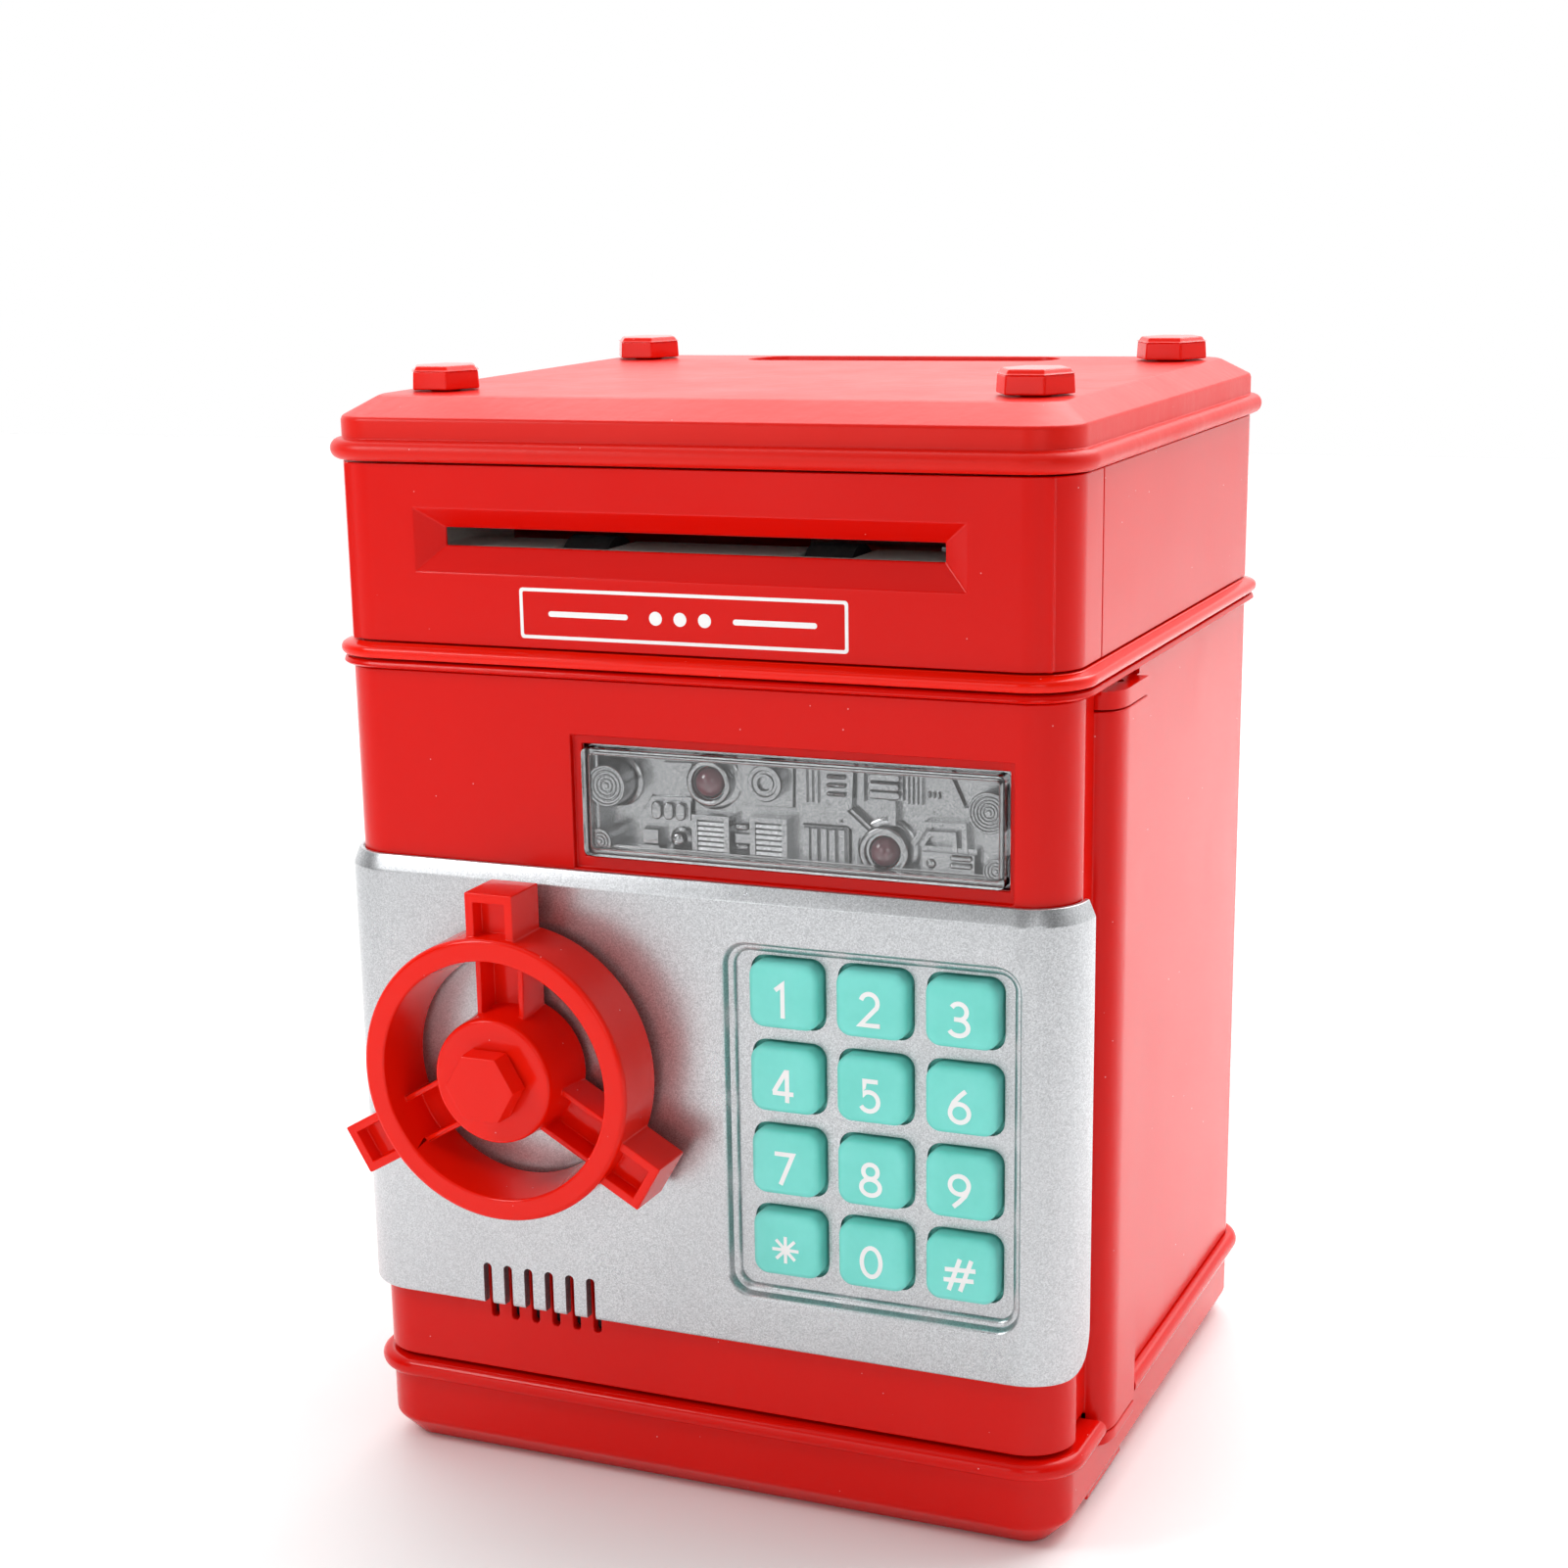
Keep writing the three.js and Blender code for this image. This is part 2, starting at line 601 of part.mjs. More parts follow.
function doorShell() {
  const skin = cut(
    loft([outline(0, DOOR_BOTTOM), outline(0, DOOR_TOP)]),
    loft([outline(-WALL, DOOR_BOTTOM - 1), outline(-WALL, DOOR_TOP + 1)]),
    box(-70, 70, DOOR_RETURN, 70, 0, 150),
  );
  const { left, right, back } = BOX;
  const walls = join(
    box(left, left + WALL, FRONT + 1, back, DOOR_BOTTOM, DOOR_TOP),
    box(right - WALL, right, FRONT + 1, back, DOOR_BOTTOM, DOOR_TOP),
    box(left, right, FRONT + 1, back, DOOR_TOP - WALL, DOOR_TOP),
    box(left, right, FRONT + 1, back, DOOR_BOTTOM, DOOR_BOTTOM + WALL),
  );
  const inCorners = loft([outline(-1, DOOR_BOTTOM), outline(-1, DOOR_TOP)]);
  const column = join(
    prism("Z", columnPlan(), COLUMN.bottom, COLUMN.top),
    box(right - WALL, right, back - 1, back + 1, DOOR_BOTTOM, COLUMN.top),
  );
  const bearing = rod("Y", WHEEL.x, WHEEL.z, FRONT + 1, -49, 5.5);
  const posts = doorPosts.map(([x, z]) => rod("Y", x, z, FRONT + 1, -40.7, 3, 3, 16));
  const windowHole = box(
    LENS.left - 0.4,
    LENS.right + 0.4,
    -60,
    -50,
    LENS.bottom - 0.4,
    LENS.top + 0.4,
  );
  const windowStep = box(-20, 54.5, -60, FRONT + 1, PLATE.top + 0.2, 130.4);
  const padHole = box(
    PAD.left - 1.7,
    PAD.right + 1.7,
    -60,
    -50,
    PAD.bottom - 1.7,
    PAD.top + 1.7,
  );
  return cut(
    join(skin, walls.intersect(inCorners), column, bearing, ...posts),
    windowHole,
    windowStep,
    padHole,
    rod("Y", WHEEL.x, WHEEL.z, -60, -40, SHAFT_R + 0.1),
    ...speakerSlots(-60, -50),
    ...doorPosts.map(([x, z]) => rod("Y", x, z, -52, -40, 1.15, 1.15, 12)),
    box(
      left - 1,
      left + WALL + 1,
      BOLT.front - 0.4,
      BOLT.back + 0.4,
      BOLT.low - 0.4,
      BOLT.high + 0.4,
    ),
    rod("Z", HINGE.x, HINGE.y, COLUMN.bottom - 1, 24, BORE_R),
    rod("Z", HINGE.x, HINGE.y, 124, COLUMN.top + 1, BORE_R),
  );
}

function facePlate() {
  const { proud, under, bottom, face, top } = PLATE;
  const skin = cut(
    loft([outline(proud, bottom), outline(proud, face), outline(under + 0.5, top)]),
    loft([outline(under, bottom - 1), outline(under, top + 1)]),
    box(-70, 70, DOOR_RETURN, 70, 0, 150),
  );
  const wheelDisc = rod("Y", WHEEL.x, WHEEL.z, PLATE_FRONT - 0.5, PLATE_FRONT + 0.5, WHEEL.disc);
  const pan = prism(
    "Y",
    roundedRect(PAD.left - 1.2, PAD.bottom - 1.2, PAD.right + 1.2, PAD.top + 1.2, PAD.r + 1.2),
    PLATE_FRONT + 0.5,
    PAD.back,
  );
  const recess = prism(
    "Y",
    roundedRect(PAD.left, PAD.bottom, PAD.right, PAD.top, PAD.r),
    PLATE_FRONT - 1,
    PAD.floor,
  );
  const keyHoles = KEY_ROWS.flatMap((z) =>
    KEY_COLUMNS.map((x) => {
      const [w, h] = [KEY.w / 2 + 0.5, KEY.h / 2 + 0.5];
      return prism("Y", roundedRect(x - w, z - h, x + w, z + h, KEY.r), -59, -55, 1);
    }),
  );
  // Rounded lower corners where the plate wraps round the door.
  const r = 8;
  const outside = new THREE.Shape();
  outside.moveTo(DOOR_RETURN - r, bottom);
  outside.absarc(DOOR_RETURN - r, bottom + r, r, -Math.PI / 2, 0);
  outside.lineTo(DOOR_RETURN + 1, bottom + r);
  outside.lineTo(DOOR_RETURN + 1, bottom - 1);
  outside.lineTo(DOOR_RETURN - r, bottom - 1);
  return cut(
    join(skin, wheelDisc, pan),
    recess,
    ...keyHoles,
    prism("X", outside, -70, -50),
    prism("X", outside, 50, 70),
    rod("Y", WHEEL.x, WHEEL.z, -65, -50, SHAFT_R + 0.6),
    ...speakerSlots(-65, -50),
  );
}

function doorBackCover() {
  const gap = 0.4;
  const plate = box(
    BOX.left + WALL + gap,
    BOX.right - WALL - gap,
    -40.3,
    BOX.back,
    DOOR_BOTTOM + WALL + gap,
    DOOR_TOP - WALL - gap,
  );
  return cut(
    plate,
    ...doorPosts.flatMap(([x, z]) => [
      rod("Y", x, z, -39.5, -38, 2.6, 2.6, 16),
      rod("Y", x, z, -41, -38, 1.4, 1.4, 16),
    ]),
  );
}

function windowLens() {
  const { left, right, bottom, top, front } = LENS;
  return cut(
    join(
      box(left, right, front, -55, bottom, top),
      box(left - 1.8, right + 1.8, -55.7, -54.7, bottom - 1.8, top + 1.8),
    ),
    box(left + 1, right - 1, front + 1, -54, bottom + 1, top - 1),
  );
}

function windowPanel() {
  const { left, right, bottom, top } = LENS;
  const flange = box(left - 1.8, right + 1.8, -54.4, -53.4, bottom - 1.8, top + 1.8);
  const tray = box(left + 0.3, right - 0.3, -53.8, TRAY.back, bottom + 0.3, top - 0.3);
  const hollow = box(left + 1.3, right - 1.3, -60, TRAY.floor, bottom + 1.3, top - 1.3);
  const bosses = [
    [-14.3, 122.2, 3.5, -56.9],
    [-16, 112.6, 2.1, -56.4],
    [12.3, 123.8, 3.1, TRAY.seat],
    [50.2, 122.3, 3.3, -56.9],
    [51.2, 112.9, 1.9, -56.4],
  ].map(([x, z, r, front]) => rod("Y", x, z, front, TRAY.back, r, r, 16));
  const blocks = [
    [-10, -1.4, 115.6, 120, -52.2],
    [-7, -1.6, 123.5, 126, -52.2],
    [-9.8, -6.4, 111, 114.6, -52.8],
    [-0.6, 6, 110.7, 118, -53.6],
    [9.4, 16, 110.9, 118.3, -53.6],
    [18, 26.7, 117.8, 126, -52.3],
    [18.2, 25.5, 111, 117.4, -52.8],
    [29.6, 34.8, 122.7, 126.1, -54],
    [35.1, 38, 121.6, 126, -52.9],
    [38, 47.2, 111, 114.9, -53.8],
    [37, 45.4, 117.9, 119.3, -52.9],
  ].map(([x0, x1, z0, z1, front]) => box(x0, x1, front, TRAY.back, z0, z1));
  const lampSeats = LAMPS.map(([, x, z]) => rod("Y", x, z, TRAY.seat, TRAY.back, 3.8, 3.8, 24));
  const inTray = box(left + 1.2, right - 1.2, -60, TRAY.floor + 0.4, bottom + 1.2, top - 1.2);
  const relief = join(...bosses, ...blocks, ...lampSeats).intersect(inTray);
  return cut(
    join(cut(join(flange, tray), hollow), relief),
    ...LAMPS.map(([, x, z]) => rod("Y", x, z, -60, -50, 2.7, 2.7, 24)),
  );
}

const lamp = (x, z) =>
  turned(
    [
      [0, -55.2],
      [0.9, -55],
      [1.8, -54.4],
      [2.3, -53.4],
      [2.4, -49.8],
      [0, -49.8],
    ],
    x,
    z,
    16,
  );

piece("door_shell", doorShell(), RED);
piece("face_plate", facePlate(), SILVER);
piece("door_back_cover", doorBackCover(), RED);
doorPosts.forEach(([x, z], i) =>
  piece(
    `door_cover_screw_${i + 1}`,
    join(rod("Y", x, z, -39.4, -38.5, 2.2, 2.2, 16), rod("Y", x, z, -49, -39, 0.9, 0.9, 12)),
    STEEL,
  ),
);
piece("window_lens", windowLens(), CLEAR);
piece("window_panel", windowPanel(), SILVER);
LAMPS.forEach(([name, x, z]) => piece(name, lamp(x, z), LAMP));
const matFront = KEY.lipBack + KEY.travel + 0.4;
piece("key_mat", box(8, 57, matFront, matFront + 1, 40, 101), WHITE);
piece("control_board", box(4, 58, -51.7, -50.1, 34, 107), GREEN_BOARD);
piece(
  "speaker",
  turned(
    [
      [0, -55.6],
      [12.5, -55.6],
      [12.5, -53.6],
      [8, -50.5],
      [8, -47],
      [0, -47],
    ],
    SPEAKER.x,
    SPEAKER.z,
    20,
  ),
  BLACK,
);

// ---------------------------------------------------------------- keys
function keyCap(x, z) {
  const { w, h, r, front, lip, lipBack } = KEY;
  const cap = (grow, from, to) => {
    const [dx, dz] = [w / 2 + grow, h / 2 + grow];
    return prism("Y", roundedRect(x - dx, z - dz, x + dx, z + dz, r), from, to, 1);
  };
  return join(cap(0, front, lipBack - lip + 0.2), cap(lip, lipBack - lip, lipBack));
}

KEY_NAMES.forEach((name, i) =>
  piece(`key_${name}`, keyCap(KEY_COLUMNS[i % 3], KEY_ROWS[Math.floor(i / 3)]), TURQUOISE),
);

// ---------------------------------------------------------------- hand wheel and lock
// A block that stands out along a wheel's radius, at an angle round the wheel's axis.
function radialBox(angle, r0, r1, width, front, back) {
  const geometry = new THREE.BoxGeometry(r1 - r0, back - front, width);
  geometry.translate((r0 + r1) / 2, (front + back) / 2, 0).rotateY(-angle);
  return toSolid(geometry.translate(WHEEL.x, 0, WHEEL.z));
}

function handWheel() {
  const { x, z, front, back, outer, inner, innerBack } = WHEEL;
  const ring = turned(
    [
      [innerBack, back],
      [inner, front + 0.6],
      [inner + 0.6, front],
      [outer - 0.8, front],
      [outer, front + 0.8],
      [outer, back],
      [innerBack, back],
    ],
    x,
    z,
    40,
  );
  const hub = join(
    rod("Y", x, z, front, back, HUB_R, HUB_R + 0.6, 30),
    rod("Y", x, z, back - 1, -46.3, SHAFT_R),
  );
  const spokes = SPOKE_ANGLES.map((a) => radialBox(a, 9, 20, GRIP.width, -69, back));
  const channels = SPOKE_ANGLES.map((a) => radialBox(a, 12, 18.9, 5.4, -70, -66));
  const grips = SPOKE_ANGLES.map((a) =>
    radialBox(a, outer - 1.2, GRIP.reach, GRIP.width, GRIP.front, GRIP.back),
  );
  const pockets = SPOKE_ANGLES.map((a) =>
    radialBox(a, 25.4, 29.8, 5.2, GRIP.front - 1, GRIP.front + 2.2),
  );
  return cut(
    join(cut(join(...spokes), ...channels), ring, hub, ...grips),
    ...pockets,
    rod("Y", x, z, front - 1, front + 6, 2.7),
  );
}

function wheelNut() {
  const { x, z, front } = WHEEL;
  return join(
    rod("Y", x, z, -77.3, front - GAP, 6.25, 6.4, 6),
    rod("Y", x, z, front - 1, front + 5, 2.3, 2.3, 16),
  );
}

function latchCam() {
  const pinX = WHEEL.x + CRANK.r * Math.cos(CRANK.angle);
  const pinZ = WHEEL.z + CRANK.r * Math.sin(CRANK.angle);
  return join(
    cut(
      rod("Y", WHEEL.x, WHEEL.z, CAM.front, CAM.back, CAM.r),
      rod("Y", WHEEL.x, WHEEL.z, CAM.front - 1, CAM.back + 1, SHAFT_R + GAP),
    ),
    rod("Y", pinX, pinZ, CAM.back - 1, -41.4, CRANK.pinR, CRANK.pinR, 20),
  );
}

function lockBolt() {
  const slotX = WHEEL.x + CRANK.r * Math.cos(CRANK.angle);
  const slotHalf = CRANK.pinR + 0.35;
  const { tip, front, back, low, high, throwMm } = BOLT;
  const notches = [0, throwMm].map((step) => {
    const x = PLUNGER.x + step;
    return box(x - 1.8, x + 1.8, front - 1, back + 1, high - 3.4, high + 1);
  });
  return cut(
    box(tip, slotX + 5, front, back, low, high),
    box(slotX - slotHalf, slotX + slotHalf, front - 1, back + 1, WHEEL.z + 3.3, WHEEL.z + 7.9),
    ...notches,
  );
}

const plungerY = (BOLT.front + BOLT.back) / 2;

piece("hand_wheel", handWheel(), BRIGHT_RED);
piece("wheel_nut", wheelNut(), BRIGHT_RED);
piece("latch_cam", latchCam(), WHITE);
piece("lock_bolt", lockBolt(), WHITE);
piece(
  "bolt_guide",
  join(
    box(-50, -44, -41.8, -40.9, 72, 90),
    box(-50, -44, -55.6, -41, 72, 75.6),
    box(-50, -44, -55.6, -41, 86, 90),
  ),
  STEEL,
);
piece(
  "solenoid",
  cut(
    box(-43.5, -32.5, -52, -41.4, 90.4, 107),
    rod("Z", PLUNGER.x, plungerY, 80, 110, PLUNGER.r + GAP, PLUNGER.r + GAP, 16),
  ),
  BRASS,
);
piece(
  "solenoid_pin",
  rod("Z", PLUNGER.x, plungerY, PLUNGER.bottom, PLUNGER.top, PLUNGER.r, PLUNGER.r, 16),
  STEEL,
);

export default model;
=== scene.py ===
"""Looks of the toy safe coin bank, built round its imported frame.
"""

import json
import math

import bmesh
import bpy
from mathutils import Matrix, Vector
from mathutils.bvhtree import BVHTree


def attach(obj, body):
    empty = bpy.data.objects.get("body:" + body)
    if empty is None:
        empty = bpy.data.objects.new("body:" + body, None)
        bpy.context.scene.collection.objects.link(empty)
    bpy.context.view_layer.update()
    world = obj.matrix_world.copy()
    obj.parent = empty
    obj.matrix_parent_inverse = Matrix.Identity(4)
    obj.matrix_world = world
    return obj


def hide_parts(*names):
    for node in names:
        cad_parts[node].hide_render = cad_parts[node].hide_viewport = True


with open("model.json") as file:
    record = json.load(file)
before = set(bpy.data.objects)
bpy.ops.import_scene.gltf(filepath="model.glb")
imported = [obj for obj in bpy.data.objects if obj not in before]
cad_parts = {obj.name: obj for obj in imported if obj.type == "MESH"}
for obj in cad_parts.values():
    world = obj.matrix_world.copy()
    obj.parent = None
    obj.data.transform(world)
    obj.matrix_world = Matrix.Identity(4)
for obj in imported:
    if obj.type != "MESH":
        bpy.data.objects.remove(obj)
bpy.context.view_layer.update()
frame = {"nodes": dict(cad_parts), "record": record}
MM = 0.001
WELD, FLAT_ANGLE, SPOILED_REACH = 0.003, math.radians(0.7), 1.2

# ---------------------------------------------------------------- driving dimensions
HALF_WIDTH, HALF_DEPTH, CORNER, WALL, BEAD, GAP = 63, 58, 8, 2, 2, 0.3
BASE_BEAD_Z, CAP_BEAD_Z, BEAD_HALF = 14.8, 174.9, 1.7
BASE_TOP = BASE_BEAD_Z + BEAD_HALF
CASE_BOTTOM = BASE_TOP + 0.4
CASE_FLOOR = CASE_BOTTOM + WALL
CASE_LIP_Z, DECK_Z, DECK_TOP = 139.7, 141.3, 143.8
UPPER_BOTTOM = DECK_TOP + GAP
CAP_BOTTOM = CAP_BEAD_Z - BEAD_HALF
UPPER_TOP = CAP_BOTTOM - GAP
CAP_TOP, CHAMFER_Z = 183.1, 180.0
CAP_FLAT = (58.3, 50.0, 4.0)
FASCIA_BACK = -41.8
HINGE_X, HINGE_Y, BORE_R = 61, -27.5, 1.6
COLUMN_OUTER, COLUMN_INNER, COLUMN_FRONT, COLUMN_BACK = 65, 57.5, -38.2, -21.6
COLUMN_BOTTOM, COLUMN_TOP = 13.2, 135.0
EAR_LOW, EAR_HIGH = (10.8, 12.9), (135.3, 138.1)
FRONT = -HALF_DEPTH
DOOR_BOTTOM, DOOR_TOP, DOOR_RETURN = 17.2, 139.4, -49.5
BOX_LEFT, BOX_RIGHT, BOX_BACK = -56, 61, -38.3
PLATE_BOTTOM, PLATE_FACE, PLATE_TOP, PLATE_FRONT = 30.2, 105.7, 108.2, -60.0
PAD = (6.7, 38.8, 56.4, 98.8)
PAD_FLOOR, PAD_BACK = -57.5, -56.3
KEY_W, KEY_H, KEY_R, KEY_FRONT, KEY_PLAY = 11.8, 10.9, 2.4, -60.6, 0.5
KEY_COLUMNS = (17.15, 32.0, 46.85)
KEY_ROWS = (90.8, 76.75, 62.7, 48.65)
KEY_NAMES = ("1", "2", "3", "4", "5", "6", "7", "8", "9", "star", "0", "hash")
WHEEL_X, WHEEL_Z, WHEEL_FRONT, WHEEL_BACK = -28.9, 75.3, -73.0, -61.6
RING_OUTER, RING_INNER, RING_INNER_BACK, HUB_R = 24.0, 20.2, 19.2, 10.6
SPOKES = (90, 210, 330)
LENS = (-18.0, 110.7, 53.2, 128.5)
LENS_FRONT = -58.5
TRAY_FLOOR, TRAY_BACK = -51.3, -50.3
LAMPS = {"lamp_left": (2.5, 123.2), "lamp_right": (32.2, 114.1)}
SPEAKER_X, SLOT_PITCH, SLOT_WIDTH = -28.8, 3.94, 1.4
SLOT_LOW, SLOT_HIGH = 26.8, 37.4
COIN_Y = 42.0
COIN_SLOT_HALF = 14
NOTE_SLOT = (-42.6, 159.7, 42.6, 162.6)
NOTE_BEVEL = (-47, 155.6, 47, 166)
BOLT_TOP, BOLT_SHOULDER, BOLT_STEM_R = 187.2, 186.3, 2.3
CAP_BOLTS = {
    "cap_bolt_front_left": (-51, -38),
    "cap_bolt_front_right": (51, -38),
    "cap_bolt_back_left": (-51, 41),
    "cap_bolt_back_right": (51, 41),
}
POST_X, POST_HEIGHTS = -48, (28, 128)
LOCK_BOLT_SLOT = (-45.6, -41.8, 75.9, 85.7)
DISC_R = 20.2
BEYOND = 70


# ---------------------------------------------------------------- meshes
def make(verts, faces):
    mesh = bpy.data.meshes.new("tool")
    mesh.from_pydata([tuple(v) for v in verts], [], faces)
    bm = bmesh.new()
    bm.from_mesh(mesh)
    bmesh.ops.remove_doubles(bm, verts=bm.verts, dist=1e-4)
    bmesh.ops.recalc_face_normals(bm, faces=bm.faces)
    bm.to_mesh(mesh)
    bm.free()
    obj = bpy.data.objects.new("tool", mesh)
    bpy.context.scene.collection.objects.link(obj)
    return obj


def at(axis, u, v, w):
    """A point whose place along axis is w and whose other two coordinates, in X, Y, Z order, are u and v."""
    return {"X": (w, u, v), "Y": (u, w, v), "Z": (u, v, w)}[axis]


def sides_between(a, b, n):
    """Quads between two rings of n points that start at vertices a and b."""
    return [(a + i, a + (i + 1) % n, b + (i + 1) % n, b + i) for i in range(n)]


def prism(axis, points, a, b):
    n = len(points)
    verts = [at(axis, u, v, a) for u, v in points] + [at(axis, u, v, b) for u, v in points]
    return make(verts, [tuple(range(n))[::-1], tuple(range(n, 2 * n)), *sides_between(0, n, n)])


def box(x0, x1, y0, y1, z0, z1):
    return prism("Z", [(x0, y0), (x1, y0), (x1, y1), (x0, y1)], z0, z1)


def arc(cx, cy, rx, ry, start, end, steps):
    """Points on an ellipse from one angle to another, in degrees."""
    angles = [math.radians(start + (end - start) * i / steps) for i in range(steps + 1)]
    return [(cx + rx * math.cos(a), cy + ry * math.sin(a)) for a in angles]


def rounded(x0, y0, x1, y1, r, steps=8):
    points = arc(x1 - r, y0 + r, r, r, -90, 0, steps) + arc(x1 - r, y1 - r, r, r, 0, 90, steps)
    points += arc(x0 + r, y1 - r, r, r, 90, 180, steps) + arc(x0 + r, y0 + r, r, r, 180, 270, steps)
    return points


def rod(axis, u, v, a, b, r0, r1=None, sides=48):
    r1 = r0 if r1 is None else r1
    verts = []
    for w, r in ((a, r0), (b, r1)):
        for i in range(sides):
            t = 2 * math.pi * i / sides
            verts.append(at(axis, u + r * math.cos(t), v + r * math.sin(t), w))
    ends = [tuple(range(sides))[::-1], tuple(range(sides, 2 * sides))]
    return make(verts, ends + sides_between(0, sides, sides))


def skin(rings):
    """A closed solid skinned over rings of points, each ring with as many points as the last."""
    n = len(rings[0])
    verts = [p for ring in rings for p in ring]
    faces = [tuple(range(n))[::-1], tuple(range(len(verts) - n, len(verts)))]
    for k in range(len(rings) - 1):
        faces += sides_between(k * n, (k + 1) * n, n)
    return make(verts, faces)


def plan(offset, z, steps=12):
    """The cabinet's plan outline, moved out by offset, at a height."""
    w, d, r = HALF_WIDTH + offset, HALF_DEPTH + offset, max(CORNER + offset, 0.5)
    return [(x, y, z) for x, y in rounded(-w, -d, w, d, r, steps)]


def standing(points, y):
    """Points of (x, z) placed at a depth."""
    return [(x, y, z) for x, z in points]


def loft(pairs):
    """The cabinet's plan skinned over pairs of an offset and a height."""
    return skin([plan(offset, z) for offset, z in pairs])


def bead(z, steps=10):
    """Offsets and heights of a half-round bead standing on the cabinet's walls."""
    points = [(0, z - BEAD_HALF)]
    for i in range(1, steps):
        a = math.pi * (i / steps - 0.5)
        points.append((BEAD * math.cos(a) ** 0.8, z + BEAD_HALF * math.sin(a)))
    return points + [(0, z + BEAD_HALF)]


def turned(profile, x, z, segments=96):
    """A closed profile of (radius, y) turned about an axis along Y."""
    verts, faces = [], []
    for r, y in profile:
        for i in range(segments):
            a = 2 * math.pi * i / segments
            verts.append((x + r * math.cos(a), y, z + r * math.sin(a)))
    for k, (r, _) in enumerate(profile):
        m = (k + 1) % len(profile)
        if r > 1e-6 or profile[m][0] > 1e-6:
            faces += sides_between(k * segments, m * segments, segments)
    return make(verts, faces)


def radial_box(angle, r0, r1, width, front, back):
    """A block that stands out along the hand wheel's radius."""
    a = math.radians(angle)
    along, across = Vector((math.cos(a), 0, math.sin(a))), Vector((-math.sin(a), 0, math.cos(a)))
    centre = Vector((WHEEL_X, 0, WHEEL_Z))
    verts = []
    for y in (front, back):
        for r, w in ((r0, -width / 2), (r1, -width / 2), (r1, width / 2), (r0, width / 2)):
            verts.append(centre + along * r + across * w + Vector((0, y, 0)))
    faces = [(3, 2, 1, 0), (4, 5, 6, 7), (0, 1, 5, 4), (1, 2, 6, 5), (2, 3, 7, 6), (3, 0, 4, 7)]
    return make(verts, faces)


def boolean(base, operation, tools):
    for tool in tools:
        m = base.modifiers.new("boolean", "BOOLEAN")
        m.operation, m.solver, m.object = operation, "MANIFOLD", tool
    depsgraph = bpy.context.evaluated_depsgraph_get()
    mesh = bpy.data.meshes.new_from_object(base.evaluated_get(depsgraph))
    base.modifiers.clear()
    base.data = mesh
    for tool in tools:
        bpy.data.objects.remove(tool)
    return base


def join(base, *tools):
    return boolean(base, "UNION", tools)


def cut(base, *tools):
    return boolean(base, "DIFFERENCE", tools)


def common(base, *tools):
    return boolean(base, "INTERSECT", tools)


def rounded_edges(mesh, width, segments, sharp):
    """The mesh with its sharp edges rounded, but for those by a corner that the rounding would overshoot."""
    spoiled = []
    for _ in range(5):
        bm = bmesh.new()
        bm.from_mesh(mesh)
        bmesh.ops.remove_doubles(bm, verts=bm.verts, dist=WELD)
        bmesh.ops.dissolve_limit(bm, angle_limit=FLAT_ANGLE, verts=bm.verts, edges=bm.edges)
        if not width:
            return bm
        surface = BVHTree.FromBMesh(bm)
        edges = []
        for e in bm.edges:
            if len(e.link_faces) != 2 or e.calc_face_angle(0) <= math.radians(sharp):
                continue
            near = any((v.co - p).length < SPOILED_REACH for v in e.verts for p in spoiled)
            if not near:
                edges.append(e)
        bmesh.ops.bevel(
            bm,
            geom=edges,
            offset=width,
            offset_type="OFFSET",
            segments=segments,
            profile=0.5,
            affect="EDGES",
            clamp_overlap=False,
        )
        bmesh.ops.remove_doubles(bm, verts=bm.verts, dist=WELD)
        bad = [v.co.copy() for v in bm.verts if surface.find_nearest(v.co)[3] > width * 0.9]
        if not bad:
            return bm
        for p in bad:
            spoiled.append(surface.find_nearest(p)[0])
        bm.free()
    bm = bmesh.new()
    bm.from_mesh(mesh)
    return bm


def finish(obj, name, material, body, replaces=(), bevel=0.25, segments=2, sharp=32):
    """Rounds the sharp edges, scales to metres and hands the piece to the frame."""
    bm = rounded_edges(obj.data, bevel, segments, sharp)
    bm.transform(Matrix.Scale(MM, 4))
    mesh = bpy.data.meshes.new(name)
    bm.to_mesh(mesh)
    bm.free()
    obj.data = mesh
    obj.name = name
    mesh.materials.append(material)
    for polygon in mesh.polygons:
        polygon.use_smooth = True
    mesh.set_sharp_from_angle(angle=math.radians(48))
    weighted = obj.modifiers.new("weighted", "WEIGHTED_NORMAL")
    weighted.keep_sharp = True
    weighted.weight = 60
    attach(obj, body)
    if replaces:
        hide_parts(*replaces)
    return obj


